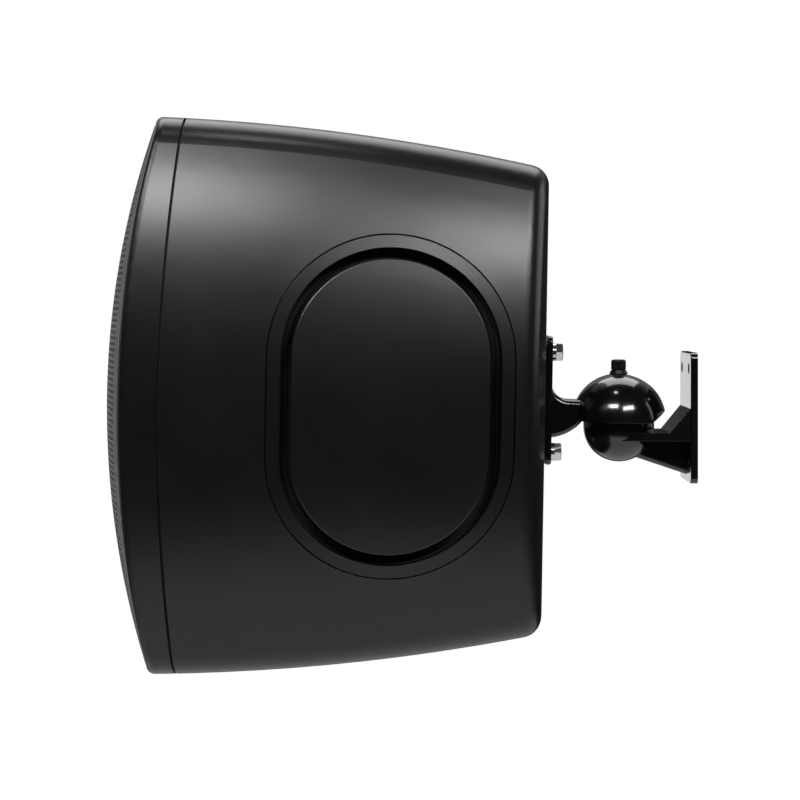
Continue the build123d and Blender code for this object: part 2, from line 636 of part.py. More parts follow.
def front_baffle(forms):
    """Front moulding: outer rim, ledge for the grille and the wall that carries the drivers."""
    block = forms[0] & front_form(0)
    block = fillet(rim_front_edges(block), RIM_EDGE_R) - seam_form(0)
    grille_pocket = forms[RIM_T] - front_form(GRILLE_SKIRT + GRILLE_CLEARANCE)
    driver_pocket = forms[RIM_T + RIM_LEDGE_W] & ahead_of(BAFFLE_X)
    back_pocket = forms[RIM_BACK_W] & behind(BAFFLE_BACK_X)
    moulding = block - grille_pocket - driver_pocket - back_pocket
    moulding -= facing_front(BAFFLE_X, 0, WOOFER_Z) * Cylinder(WOOFER_HOLE_D / 2, 4 * BAFFLE_T)
    tweeter_hole = TWEETER_BODY_D / 2 + SCREW_CLEARANCE
    moulding -= facing_front(BAFFLE_X, 0, TWEETER_Z) * Cylinder(tweeter_hole, 4 * BAFFLE_T)
    pilot = Cylinder(SCREW_D / 2 + SCREW_CLEARANCE, 4 * BAFFLE_T)
    for place in woofer_screw_planes() + tweeter_screw_planes():
        moulding -= place * pilot
    for y, z in baffle_screw_places():
        moulding -= facing_front(BAFFLE_X, y, z) * Cylinder(SCREW_D / 2 + SCREW_CLEARANCE, TALL / 4)
    return moulding


def rim_front_edges(block):
    """Outer edges of the block's curved front face."""
    return block.faces().sort_by(Axis.X)[0].edges()


def baffle_screw_places():
    """Places of the eight screws round the front moulding's edge."""
    end_y = end_screw_y()
    places = both_sides(end_y, end_screw_z(end_y))
    for side_z in (BAFFLE_SCREW_Z, -low_side_screw()):
        y = side_screw_y(side_z)
        places += [(-y, side_z), (y, side_z)]
    return [(py, HEAD_Z + pz) for py, pz in places]


def end_screw_z(y):
    """Height over the cabinet's middle of a top screw at distance y from the middle plane."""
    return half_height(SEAM_X) - fall(y, TOP_CROWN_R) - BAFFLE_SCREW_INSET


def end_screw_y():
    """Distance from the middle plane of the top and bottom screws, moved in until they clear the corners."""
    corner_z = half_height(SEAM_X) - CORNER_R
    corner_y = half_width(SEAM_X) - fall(corner_z, SIDE_CROWN_R) - CORNER_R
    clear = CORNER_R - BAFFLE_SCREW_INSET + BAFFLE_SCREW_MARGIN
    y = BAFFLE_SCREW_Y
    while hypot(y - corner_y, end_screw_z(y) - corner_z) > clear:
        y -= SCREW_D
    return y


def side_screw_y(z):
    """Distance from the middle plane of a side screw at height z over the cabinet's middle."""
    return half_width(SEAM_X) - fall(z, SIDE_CROWN_R) - BAFFLE_SCREW_INSET


def low_side_screw():
    """Depth under the cabinet's middle of the low side screws, moved down until they clear the woofer."""
    clear = (WOOFER_FLANGE_D + SCREW_HEAD_D) / 2 + BAFFLE_SCREW_MARGIN
    drop = BAFFLE_SCREW_Z
    while hypot(side_screw_y(drop), HEAD_Z - drop - WOOFER_Z) < clear:
        drop += SCREW_D
    return drop


def screw(length, head_d=SCREW_HEAD_D, shank_d=SCREW_D):
    """Pan-head screw whose head stands on the local XY plane."""
    shank = Cylinder(shank_d / 2, length, align=(Align.CENTER, Align.CENTER, Align.MAX))
    head = Cylinder(head_d / 2, SCREW_HEAD_H, align=(Align.CENTER, Align.CENTER, Align.MIN))
    return head + shank


def baffle_screws():
    """Screws that hold the front moulding to the cabinet's front flange."""
    return joined([facing_front(BAFFLE_X, y, z) * screw(BAFFLE_SCREW_L) for y, z in baffle_screw_places()])


def baffle_seal(forms):
    """Rubber seal in the seam, set back from the outside so that the seam reads as a groove."""
    seal = (forms[SEAM_GROOVE] - forms[SEAL_INSET]) & (seam_form(0) - seam_form(SEAM_GAP))
    for y, z in baffle_screw_places():
        seal -= facing_front(SEAM_X, y, z) * Cylinder(SCREW_D / 2 + SCREW_CLEARANCE, TALL / 4)
    return seal


def grille(forms):
    """Pressed steel grille: a doubly curved face with a grid of openings, and a skirt inside the rim."""
    outer = forms[RIM_T + GRILLE_CLEARANCE]
    face = (front_form(0) - front_form(GRILLE_T)) & outer
    opening = Rectangle(GRILLE_PITCH - GRILLE_BAR, GRILLE_PITCH - GRILLE_BAR)
    openings = [Pos(y, z) * opening for y, z in grille_opening_places()]
    cut = extrude(Sketch(children=openings), -SEAM_LEAD - 2 * GRILLE_FALL)
    face -= facing_rear(SEAM_X, 0, HEAD_Z) * cut
    skirt = (outer - forms[RIM_T + GRILLE_CLEARANCE + GRILLE_SKIRT_T]) & (
        front_form(0) - front_form(GRILLE_SKIRT))
    return face + skirt


def grille_opening_places():
    """Places of the grille's openings, on a square grid that keeps a border to the cabinet's outline."""
    reach = (GRILLE_PITCH - GRILLE_BAR) / 2 + GRILLE_BORDER + RIM_T + GRILLE_CLEARANCE
    columns = 2 * int(HALF_WIDTH / GRILLE_PITCH) + 1
    rows = 2 * int(HALF_HEIGHT / GRILLE_PITCH)
    places = []
    for spot in GridLocations(GRILLE_PITCH, GRILLE_PITCH, columns, rows).local_locations:
        y, z = spot.position.X, spot.position.Y
        side = half_width(SEAM_X) - fall(abs(z) + reach, SIDE_CROWN_R) - reach
        top = half_height(SEAM_X) - fall(abs(y) + reach, TOP_CROWN_R) - reach
        if abs(y) < side and abs(z) < top:
            places.append((y, z))
    return places


def woofer_plane():
    """Plane on the woofer's axis at the baffle's front face."""
    return facing_front(BAFFLE_X, 0, WOOFER_Z)


def woofer_screw_planes():
    """Planes of the woofer's screws on its flange."""
    spots = PolarLocations(WOOFER_SCREW_PCD / 2, WOOFER_SCREWS, start_angle=90 / WOOFER_SCREWS)
    centres = [spot.position for spot in spots.local_locations]
    return [facing_front(BAFFLE_X - WOOFER_FLANGE_T, -c.X, WOOFER_Z + c.Y) for c in centres]


def cone_seat():
    """Local height of the face that the woofer's surround is glued to."""
    return WOOFER_FLANGE_T - WOOFER_SEAT_SINK


def coil_top():
    """Local height of the cone's neck."""
    return cone_seat() - WOOFER_CONE_DEPTH


def woofer_frame():
    """Pressed basket with a flange, open windows and a base ring for the magnet."""
    seat_r = WOOFER_SEAT_D / 2
    hole_r = WOOFER_HOLE_D / 2 - SCREW_CLEARANCE
    base_r = BASKET_BASE_D / 2
    body = turned(
        (seat_r, cone_seat()), (seat_r + 2 * WOOFER_LAND_W, cone_seat()),
        (seat_r + 2 * WOOFER_LAND_W, WOOFER_FLANGE_T), (WOOFER_FLANGE_D / 2, WOOFER_FLANGE_T),
        (WOOFER_FLANGE_D / 2, 0), (hole_r, 0), (hole_r, -BASKET_T),
        (base_r, -BASKET_DEPTH), (base_r, -BASKET_DEPTH - BASKET_T),
        (SPIDER_D / 2 - 2 * SPIDER_SEAT_W, -BASKET_DEPTH - BASKET_T),
        (SPIDER_D / 2 - 2 * SPIDER_SEAT_W, -BASKET_DEPTH),
        (base_r - BASKET_T, -BASKET_DEPTH), (seat_r, -BASKET_T))
    shelf_z = spider_seat()
    shelf_r = SPIDER_D / 2 - SPIDER_SEAT_W
    shelf = turned((shelf_r, shelf_z), (base_r, shelf_z), (base_r, -BASKET_DEPTH - BASKET_T),
                   (shelf_r, -BASKET_DEPTH - BASKET_T))
    low = -BASKET_DEPTH + 2 * BASKET_T
    high = -3 * BASKET_T
    window = Pos(0, 0, (low + high) / 2) * Box(WOOFER_FLANGE_D, TALL, high - low)
    spokes = Box(TALL, BASKET_SPOKE_W, TALL)
    for i in range(1, BASKET_WINDOWS // 2):
        spokes += Rot(0, 0, i * 360 / BASKET_WINDOWS) * Box(TALL, BASKET_SPOKE_W, TALL)
    window = window & Cylinder(WOOFER_FLANGE_D, TALL)
    body = body - (window - spokes) + shelf
    for place in woofer_screw_planes():
        local = woofer_plane().to_local_coords(place.origin)
        body -= Pos(local.X, local.Y, 0) * Cylinder(SCREW_D / 2 + SCREW_CLEARANCE, 4 * WOOFER_FLANGE_T)
    return woofer_plane() * body


def spider_seat():
    """Local height of the shelf that the spider is glued to."""
    return -BASKET_DEPTH + BASKET_T + SPIDER_SEAT_W


def woofer_surround():
    """Rubber half roll between the cone's land and the basket's seat."""
    inner_r = WOOFER_CONE_D / 2 - WOOFER_LAND_W
    outer_r = WOOFER_SEAT_D / 2 + 2 * WOOFER_LAND_W - SCREW_CLEARANCE
    foot_z = cone_seat()
    roll_from = WOOFER_CONE_D / 2
    roll_to = WOOFER_SEAT_D / 2
    mid = (roll_from + roll_to) / 2
    roll_r = (roll_to - roll_from) / 2
    section = make_face(Wire([
        Line((inner_r, foot_z), (roll_from + SURROUND_T, foot_z)),
        ThreePointArc((roll_from + SURROUND_T, foot_z), (mid, foot_z + roll_r - SURROUND_T),
                      (roll_to - SURROUND_T, foot_z)),
        Line((roll_to - SURROUND_T, foot_z), (outer_r, foot_z)),
        Line((outer_r, foot_z), (outer_r, foot_z + SURROUND_T)),
        Line((outer_r, foot_z + SURROUND_T), (roll_to, foot_z + SURROUND_T)),
        ThreePointArc((roll_to, foot_z + SURROUND_T), (mid, foot_z + roll_r),
                      (roll_from, foot_z + SURROUND_T)),
        Line((roll_from, foot_z + SURROUND_T), (inner_r, foot_z + SURROUND_T)),
        Line((inner_r, foot_z + SURROUND_T), (inner_r, foot_z)),
    ]))
    return woofer_plane() * revolve(Plane.XZ * section, Axis.Z)


def cone_height(radius):
    """Local height of the cone's front face at a radius, on a gentle flare from neck to land."""
    neck_r = COIL_D / 2 + COIL_FORMER_T
    share = (radius - neck_r) / (WOOFER_CONE_D / 2 - WOOFER_LAND_W - neck_r)
    return coil_top() + share * WOOFER_CONE_DEPTH


def woofer_cone():
    """Shallow cone with a flat land under the surround and a collar on the coil former."""
    neck_r = COIL_D / 2 + COIL_FORMER_T
    land_r = WOOFER_CONE_D / 2 - WOOFER_LAND_W
    seat = cone_seat()
    cone = turned(
        (neck_r, coil_top()), (land_r, seat), (WOOFER_CONE_D / 2, seat),
        (WOOFER_CONE_D / 2, seat - WOOFER_CONE_T), (land_r, seat - WOOFER_CONE_T),
        (neck_r, coil_top() - WOOFER_CONE_T))
    return woofer_plane() * cone


def dust_cap():
    """Domed cap on the middle of the cone."""
    foot_r = DUST_CAP_D / 2
    foot_z = cone_height(foot_r)
    radius = (foot_r ** 2 + DUST_CAP_RISE ** 2) / (2 * DUST_CAP_RISE)
    centre_z = foot_z + DUST_CAP_RISE - radius
    cap = Pos(0, 0, centre_z) * (Sphere(radius) - Sphere(radius - WOOFER_CONE_T))
    above = turned((0, coil_top()), (COIL_D / 2 + COIL_FORMER_T, coil_top()),
                   (WOOFER_CONE_D / 2 - WOOFER_LAND_W, cone_seat()), (0, cone_seat() + DUST_CAP_RISE))
    return woofer_plane() * (cap & above)


def woofer_voice_coil():
    """Coil former with its winding, glued in the cone's neck."""
    inner_r = COIL_D / 2
    former_r = inner_r + COIL_FORMER_T
    winding_r = former_r + COIL_WINDING_T
    top = coil_top()
    low = gap_centre() - COIL_WINDING_L / 2
    high = gap_centre() + COIL_WINDING_L / 2
    coil = turned((inner_r, top), (former_r, top), (former_r, high), (winding_r, high), (winding_r, low),
                  (inner_r, low))
    return woofer_plane() * coil


def gap_centre():
    """Local height of the middle of the magnet gap."""
    return -BASKET_DEPTH - BASKET_T - TOP_PLATE_T / 2


def woofer_spider():
    """Corrugated centring ring between the coil former and the basket's shelf."""
    inner_r = COIL_D / 2 + COIL_FORMER_T
    seat_r = SPIDER_D / 2 - SPIDER_SEAT_W
    z = spider_seat()
    pitch = (seat_r - inner_r) / (2 * SPIDER_WAVES)
    lower = [(inner_r, z)]
    for i in range(2 * SPIDER_WAVES):
        lower.append((inner_r + (i + 0.5) * pitch, z + SPIDER_WAVE * (1 if i % 2 == 0 else -1) / 2))
    lower += [(seat_r, z), (SPIDER_D / 2, z)]
    upper = [(r, height + SPIDER_T) for r, height in reversed(lower)]
    return woofer_plane() * turned(*lower, *upper)


def woofer_top_plate():
    """Steel ring in front of the magnet, with the coil's gap in its middle."""
    bore = COIL_D + 2 * (COIL_FORMER_T + COIL_WINDING_T + COIL_GAP)
    z = -BASKET_DEPTH - BASKET_T - TOP_PLATE_T
    return woofer_plane() * Pos(0, 0, z) * ring(TOP_PLATE_D, bore, TOP_PLATE_T)


def woofer_magnet():
    """Ferrite ring."""
    z = -BASKET_DEPTH - BASKET_T - TOP_PLATE_T - MAGNET_T
    return woofer_plane() * Pos(0, 0, z) * ring(MAGNET_D, MAGNET_BORE_D, MAGNET_T)


def woofer_yoke():
    """Steel back plate with the pole that stands inside the coil."""
    pole_r = COIL_D / 2 - COIL_GAP
    top = -BASKET_DEPTH - BASKET_T
    seat = top - TOP_PLATE_T - MAGNET_T
    yoke = turned((0, top), (pole_r, top), (pole_r, seat), (YOKE_D / 2, seat), (YOKE_D / 2, seat - YOKE_T),
                  (0, seat - YOKE_T))
    return woofer_plane() * yoke


def woofer_screws():
    """Screws through the woofer's flange into the baffle."""
    return joined([place * screw(WOOFER_SCREW_L) for place in woofer_screw_planes()])


def tweeter_plane():
    """Plane on the tweeter's axis at the baffle's front face."""
    return facing_front(BAFFLE_X, 0, TWEETER_Z)


def tweeter_screw_planes():
    """Planes of the tweeter's screws on its flange."""
    spots = PolarLocations(TWEETER_SCREW_PCD / 2, TWEETER_SCREWS, start_angle=180 / TWEETER_SCREWS)
    centres = [spot.position for spot in spots.local_locations]
    return [facing_front(BAFFLE_X - TWEETER_FLANGE_T, -c.X, TWEETER_Z + c.Y) for c in centres]


def throat_z():
    """Local height of the back of the waveguide, where the dome's rim is held."""
    return TWEETER_FLANGE_T - HORN_DEPTH


def tweeter_waveguide():
    """Moulded flange with a flared horn in front of the dome."""
    mouth_r = HORN_MOUTH_D / 2
    throat_r = HORN_THROAT_D / 2
    body_r = TWEETER_BODY_D / 2
    flare = ThreePointArc(
        (mouth_r, TWEETER_FLANGE_T), ((mouth_r + 2 * throat_r) / 3, throat_z() + HORN_DEPTH * HORN_SWELL),
        (throat_r, throat_z()))
    rest = Polyline((throat_r, throat_z()), (body_r, throat_z()), (body_r, 0), (TWEETER_D / 2, 0),
                    (TWEETER_D / 2, TWEETER_FLANGE_T), (mouth_r, TWEETER_FLANGE_T))
    horn = revolve(Plane.XZ * make_face(Wire([flare] + rest.edges())), Axis.Z)
    for place in tweeter_screw_planes():
        local = tweeter_plane().to_local_coords(place.origin)
        horn -= Pos(local.X, local.Y, 0) * Cylinder(SCREW_D / 2 + SCREW_CLEARANCE, 4 * TWEETER_FLANGE_T)
    return tweeter_plane() * horn


def tweeter_dome():
    """Soft dome with a flat rim and a short coil skirt."""
    foot_r = TWEETER_DOME_D / 2
    radius = (foot_r ** 2 + TWEETER_DOME_RISE ** 2) / (2 * TWEETER_DOME_RISE)
    rim_z = throat_z() - TWEETER_TRAVEL - RUNNING_CLEARANCE
    cap = Pos(0, 0, rim_z + TWEETER_DOME_RISE - radius) * (
        Sphere(radius) - Sphere(radius - TWEETER_DOME_T))
    above = Pos(0, 0, rim_z) * Cylinder(
        foot_r, 2 * radius, align=(Align.CENTER, Align.CENTER, Align.MIN))
    inner_r = foot_r - TWEETER_DOME_T
    rim = turned((inner_r, rim_z), (foot_r + TWEETER_DOME_RIM_W, rim_z),
                 (foot_r + TWEETER_DOME_RIM_W, rim_z - TWEETER_DOME_T), (foot_r, rim_z - TWEETER_DOME_T),
                 (foot_r, rim_z - TWEETER_CHAMBER_L + 2 * RUNNING_CLEARANCE),
                 (inner_r, rim_z - TWEETER_CHAMBER_L + 2 * RUNNING_CLEARANCE))
    return tweeter_plane() * ((cap & above) + rim)


def tweeter_magnet():
    """Magnet can behind the waveguide, with the hollow that the coil skirt moves in."""
    body_r = TWEETER_BODY_D / 2
    top = throat_z()
    dome_r = TWEETER_DOME_D / 2 + TWEETER_DOME_RIM_W + RUNNING_CLEARANCE
    floor = top - TWEETER_CHAMBER_L - 2 * TWEETER_TRAVEL
    can = turned((dome_r, top), (body_r, top), (body_r, top - TWEETER_BODY_L), (0, top - TWEETER_BODY_L),
                 (0, floor), (dome_r, floor))
    return tweeter_plane() * can


def tweeter_screws():
    """Screws through the waveguide's flange into the baffle."""
    return joined([place * screw(TWEETER_SCREW_L) for place in tweeter_screw_planes()])


def radiator_frame(forms):
    """Trim ring flush with the wall, with a collar behind it that holds the surround."""
    opening = radiator_prism(SURROUND_GAP)
    trim = (forms[0] - forms[TRIM_T]) & radiator_prism(SURROUND_GAP + TRIM_W)
    collar = forms[0] & radiator_prism(SURROUND_GAP + COLLAR_T, -COLLAR_DEPTH)
    return trim + collar - opening


def radiator_panel(forms):
    """Diaphragm that carries on the wall's curves, with a rounded edge and a skirt behind it."""
    panel = forms[PANEL_SINK] & radiator_prism(0, -PANEL_SKIRT)
    face = panel.faces().sort_by(Axis.Y)[0]
    panel = fillet(face.edges(), PANEL_EDGE_R)
    return panel - (forms[PANEL_SINK + PANEL_T] & radiator_prism(-PANEL_SKIRT_T))


def radiator_surround():
    """Rubber trough that joins the panel's skirt to the collar all round."""
    outer_r = SURROUND_GAP / 2 - TROUGH_CLEARANCE
    across = PANEL_W / 2 + SURROUND_GAP / 2
    section = (Circle(outer_r) - Circle(outer_r - TROUGH_T)) & Pos(0, -outer_r) * Rectangle(
        4 * outer_r, 2 * outer_r)
    straight = PANEL_L - PANEL_W
    start = Plane(origin=(across, -straight / 2, -TROUGH_DEPTH), x_dir=(1, 0, 0), z_dir=(0, -1, 0))
    side = extrude(start * section, -straight)
    end = revolve(start * section, Axis((0, -straight / 2, 0), (0, 0, 1)), -180)
    half = side + end
    return radiator_plane() * (half + Rot(0, 0, 180) * half)


def crossover_board():
    """Circuit board on the posts of the inner rear wall."""
    board = extrude(Rectangle(BOARD_W, BOARD_H), -BOARD_T)
    for y, z in both_sides(BOARD_W / 2 - BOARD_HOLE_INSET, BOARD_H / 2 - BOARD_HOLE_INSET):
        board -= Pos(y, z, 0) * Cylinder(SCREW_D / 2 + SCREW_CLEARANCE, 4 * BOARD_T)
    return facing_rear(BOARD_X, 0, BOARD_Z) * board


def board_screws():
    """Screws that hold the board to its posts."""
    places = both_sides(BOARD_W / 2 - BOARD_HOLE_INSET, BOARD_H / 2 - BOARD_HOLE_INSET)
    return joined([facing_front(BOARD_X - BOARD_T, y, BOARD_Z + z) * screw(BOARD_SCREW_L) for y, z in places])


def crossover_inductor():
    """Wound air-core coil on the board."""
    place = facing_front(BOARD_X - BOARD_T, 0, BOARD_Z + BOARD_H / 2 - BOARD_HOLE_INSET - INDUCTOR_D / 2)
    return place * ring(INDUCTOR_D, INDUCTOR_BORE_D, INDUCTOR_H)


def crossover_capacitors():
    """Pair of upright capacitors on the board."""
    can = Cylinder(CAPACITOR_D / 2, CAPACITOR_H, align=(Align.CENTER, Align.CENTER, Align.MIN))
    z = BOARD_Z - BOARD_H / 2 + BOARD_HOLE_INSET + CAPACITOR_D / 2
    return joined([facing_front(BOARD_X - BOARD_T, s * CAPACITOR_PITCH / 2, z) * can for s in (-1, 1)])


def terminal_screw_places():
    """Places of the terminal cup's screws on its flange."""
    return both_sides(TERMINAL_W / 2 + TERMINAL_FLANGE_W / 2, TERMINAL_SCREW_Z)


def terminal_cup():
    """Recessed tray for the binding posts, screwed to the flat seat on the rear face."""
    flange = extrude(RectangleRounded(
        TERMINAL_W + 2 * TERMINAL_FLANGE_W, TERMINAL_H + 2 * TERMINAL_FLANGE_W, TERMINAL_CORNER_R),
        TERMINAL_FLANGE_T)
    tray = extrude(RectangleRounded(TERMINAL_W, TERMINAL_H, TERMINAL_CORNER_R), -TERMINAL_DEPTH)
    hollow = Pos(0, 0, TERMINAL_WALL - TERMINAL_DEPTH) * extrude(RectangleRounded(
        TERMINAL_W - 2 * TERMINAL_WALL, TERMINAL_H - 2 * TERMINAL_WALL, TERMINAL_CORNER_R - TERMINAL_WALL),
        2 * TERMINAL_DEPTH)
    cup = flange + tray - hollow
    for y, z in terminal_screw_places():
        cup -= Pos(y, z, 0) * Cylinder(TERMINAL_SCREW_D / 2 + SCREW_CLEARANCE, 4 * TERMINAL_FLANGE_T)
    for s in (-1, 1):
        cup -= Pos(s * POST_PITCH / 2, 0, 0) * Cylinder(POST_D / 2 + SCREW_CLEARANCE, 4 * TERMINAL_DEPTH)
    return facing_rear(TERMINAL_SEAT_X, 0, TERMINAL_Z) * cup


def terminal_screws():
    """Screws that hold the terminal cup."""
    place_x = TERMINAL_SEAT_X + TERMINAL_FLANGE_T
    part = screw(TERMINAL_SCREW_L, TERMINAL_SCREW_HEAD_D, TERMINAL_SCREW_D)
    return joined([facing_rear(place_x, y, TERMINAL_Z + z) * part for y, z in terminal_screw_places()])


def post_plane(side):
    """Plane on a binding post's axis at the floor of the terminal cup."""
    return facing_rear(TERMINAL_FLOOR_X, side * POST_PITCH / 2, TERMINAL_Z)


def terminal_post(side):
    """Plated post with a collar, a plug bore and a tail through the cup's floor."""
    post = turned((0, -TERMINAL_WALL - POST_TAIL), (POST_D / 2, -TERMINAL_WALL - POST_TAIL), (POST_D / 2, 0),
                  (POST_COLLAR_D / 2, 0), (POST_COLLAR_D / 2, POST_COLLAR_T), (POST_D / 2, POST_COLLAR_T),
                  (POST_D / 2, POST_LENGTH), (0, POST_LENGTH))
    bore = Pos(0, 0, POST_LENGTH) * Cylinder(
        PLUG_BORE_D / 2, PLUG_BORE_L, align=(Align.CENTER, Align.CENTER, Align.MAX))
    return post_plane(side) * (post - bore)


def terminal_cap(side):
    """Fluted knob that turns on a binding post."""
    cap = ring(CAP_D, POST_D + 2 * RUNNING_CLEARANCE, CAP_L)
    for spot in PolarLocations(CAP_D / 2, CAP_FLUTES).local_locations:
        cap -= spot * Cylinder(CAP_FLUTE_D / 2, 4 * CAP_L)
    return post_plane(side) * Pos(0, 0, POST_COLLAR_T + CAP_RISE) * cap


def terminal_nuts():
    """Nuts on the posts' tails behind the cup's floor."""
    nut = extrude(RegularPolygon(POST_NUT_AF / 2, 6, major_radius=False), -POST_NUT_T)
    nut -= Cylinder(POST_D / 2 + TAPPED_CLEARANCE, 4 * POST_NUT_T)
    return joined([post_plane(s) * Pos(0, 0, -TERMINAL_WALL) * nut for s in (-1, 1)])


def head_pieces():
    """All the pieces of the speaker itself, level, before it is aimed."""
    insets = [0, WALL_T - SEAT_CLEARANCE, WALL_T, TRIM_T, TRIM_T + SEAT_CLEARANCE, PANEL_SINK,
              PANEL_SINK + PANEL_T, RIM_T, RIM_T + GRILLE_CLEARANCE,
              RIM_T + GRILLE_CLEARANCE + GRILLE_SKIRT_T, RIM_T + RIM_LEDGE_W, RIM_BACK_W, SEAM_GROOVE,
              SEAL_INSET]
    forms = {inset: cabinet_form(inset) for inset in insets}
    pieces = {
        "speaker_bracket": speaker_bracket(),
        "bracket_washers": bracket_washers(),
        "bracket_lock_washers": bracket_lock_washers(),
        "bracket_bolts": bracket_bolts(),
        "threaded_inserts": threaded_inserts(),
        "cabinet": cabinet(forms),
        "front_baffle": front_baffle(forms),
        "baffle_seal": baffle_seal(forms),
        "baffle_screws": baffle_screws(),
        "grille": grille(forms),
        "woofer_frame": woofer_frame(),
        "woofer_surround": woofer_surround(),
        "woofer_cone": woofer_cone(),
        "dust_cap": dust_cap(),
        "woofer_voice_coil": woofer_voice_coil(),
        "woofer_spider": woofer_spider(),
        "woofer_top_plate": woofer_top_plate(),
        "woofer_magnet": woofer_magnet(),
        "woofer_yoke": woofer_yoke(),
        "woofer_screws": woofer_screws(),
        "tweeter_waveguide": tweeter_waveguide(),
        "tweeter_dome": tweeter_dome(),
        "tweeter_magnet": tweeter_magnet(),
        "tweeter_screws": tweeter_screws(),
        "crossover_board": crossover_board(),
        "board_screws": board_screws(),
        "crossover_inductor": crossover_inductor(),
        "crossover_capacitors": crossover_capacitors(),
        "terminal_cup": terminal_cup(),
        "terminal_screws": terminal_screws(),
        "terminal_nuts": terminal_nuts(),
    }
    for side, name in ((-1, "red"), (1, "black")):
        pieces["terminal_post_" + name] = terminal_post(side)
        pieces["terminal_cap_" + name] = terminal_cap(side)
    sides = {"frame": radiator_frame(forms), "panel": radiator_panel(forms), "surround": radiator_surround()}
    for name, piece in sides.items():
        pieces["radiator_" + name + "_left"] = piece
        pieces["radiator_" + name + "_right"] = mirror(piece, about=Plane.XZ)
    return pieces


def main():
    """Write every piece to its own file."""
    os.makedirs("parts", exist_ok=True)
    pieces = {"wall_bracket": wall_bracket(), "clamp_bolt": clamp_bolt(), "saddle_washer": saddle_washer()}
    aim_axis = Axis(BALL, (0, 1, 0))
    for name, piece in head_pieces().items():
        pieces[name] = piece.rotate(aim_axis, AIM_TILT)
    for name, piece in pieces.items():
        export_step(piece, "parts/" + name + ".step")


main()
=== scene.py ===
import json
import logging
import math
from dataclasses import dataclass, field
from enum import Enum
from typing import Any, Sequence, Union

import bpy
import numpy as np
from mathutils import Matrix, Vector


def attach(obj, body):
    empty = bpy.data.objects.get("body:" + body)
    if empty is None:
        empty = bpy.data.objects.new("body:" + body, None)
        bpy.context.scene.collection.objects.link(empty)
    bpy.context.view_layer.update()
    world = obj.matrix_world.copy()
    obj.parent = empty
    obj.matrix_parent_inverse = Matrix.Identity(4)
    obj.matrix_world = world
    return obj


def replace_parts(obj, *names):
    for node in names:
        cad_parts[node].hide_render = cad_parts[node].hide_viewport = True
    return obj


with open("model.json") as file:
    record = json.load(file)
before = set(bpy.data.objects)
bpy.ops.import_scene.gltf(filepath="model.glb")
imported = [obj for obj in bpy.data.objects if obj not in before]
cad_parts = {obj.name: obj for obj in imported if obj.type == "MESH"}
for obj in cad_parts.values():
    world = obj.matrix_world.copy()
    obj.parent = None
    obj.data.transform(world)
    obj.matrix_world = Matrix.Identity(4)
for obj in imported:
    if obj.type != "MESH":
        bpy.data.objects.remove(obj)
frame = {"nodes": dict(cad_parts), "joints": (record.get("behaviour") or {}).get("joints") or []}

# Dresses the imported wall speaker: a finish for every solid, a perforated grille, a knurled clamp screw,
# lights and camera. Lengths are in metres in the frame of the solids: +X into the wall, +Z up, and the
# speaker looks towards -X.

Colour = tuple[float, float, float]
Span = tuple[float, float]
Value = Union[float, int, "Field"]
log = logging.getLogger("speaker")

# Colour and gloss drift in blotches, which have these shares of the drift; the relief has the rest.
BLOTCH_SIZE = 0.045
BLOTCH_DETAIL = 3.0
BLOTCH_IN_COLOUR = 0.7
BLOTCH_IN_GLOSS = 0.6
TINT_SPAN = (0.3, 0.8)
BEVEL_SAMPLES = 4

# Brightness of what the finishes mirror: the dim room, its upper part behind the speaker, and the white
# card at the left, by itself and where it meets the white sweep behind.
ROOM_LEVEL = 0.014
UPPER_LEVEL = 0.3
CARD_LEVEL = 0.6
CARD_ON_SWEEP_LEVEL = 0.9

FLOOR_RINGS = 24
FLOOR_RAYS = 96
FLOOR_SPECK = 0.02
FLOOR_COLOURS = ((0.78, 0.78, 0.78), (0.82, 0.82, 0.82))
SENSOR_MM = 36.0
CLIP_END = 50.0


class Field:
    """A value that changes over a surface: arithmetic on it adds Math nodes to the tree."""

    def __init__(self, bench: "NodeBench", socket: bpy.types.NodeSocket) -> None:
        """Wraps one output socket of a tree.

        Args:
            bench: the tree's node maker.
            socket: the output that gives the value.
        """
        self.bench = bench
        self.socket = socket

    def _with(self, operation: str, first: Value, second: Value = 0.0) -> "Field":
        """Adds one Math node.

        Args:
            operation: the Math node's operation.
            first: its first value.
            second: its second value.

        Returns:
            The node's result.
        """
        return self.bench.value("ShaderNodeMath", {"operation": operation}, {0: first, 1: second})

    def __add__(self, other: Value) -> "Field":
        """Sum."""
        return self._with("ADD", self, other)

    def __radd__(self, other: Value) -> "Field":
        """Sum with a number on the left."""
        return self._with("ADD", other, self)

    def __sub__(self, other: Value) -> "Field":
        """Difference."""
        return self._with("SUBTRACT", self, other)

    def __rsub__(self, other: Value) -> "Field":
        """Difference from a number on the left."""
        return self._with("SUBTRACT", other, self)

    def __mul__(self, other: Value) -> "Field":
        """Product."""
        return self._with("MULTIPLY", self, other)

    def __pow__(self, other: Value) -> "Field":
        """Power."""
        return self._with("POWER", self, other)

    def sine(self) -> "Field":
        """Sine of the value in radians."""
        return self._with("SINE", self)

    def highest(self, other: Value) -> "Field":
        """The larger of two values."""
        return self._with("MAXIMUM", self, other)

    def step(self, low: float, high: float) -> "Field":
        """Smooth step from 0 at low to 1 at high.

        Args:
            low: the value that gives 0.
            high: the value that gives 1.

        Returns:
            The stepped value.
        """
        return self.bench.value("ShaderNodeMapRange", {"interpolation_type": "SMOOTHSTEP"},
                                {"Value": self, "From Min": low, "From Max": high})

    def band(self, rise: Span, fall: Span) -> "Field":
        """Smooth band that goes up to 1 over the first span and down to 0 over the second."""
        return self.step(*rise) * (1 - self.step(*fall))


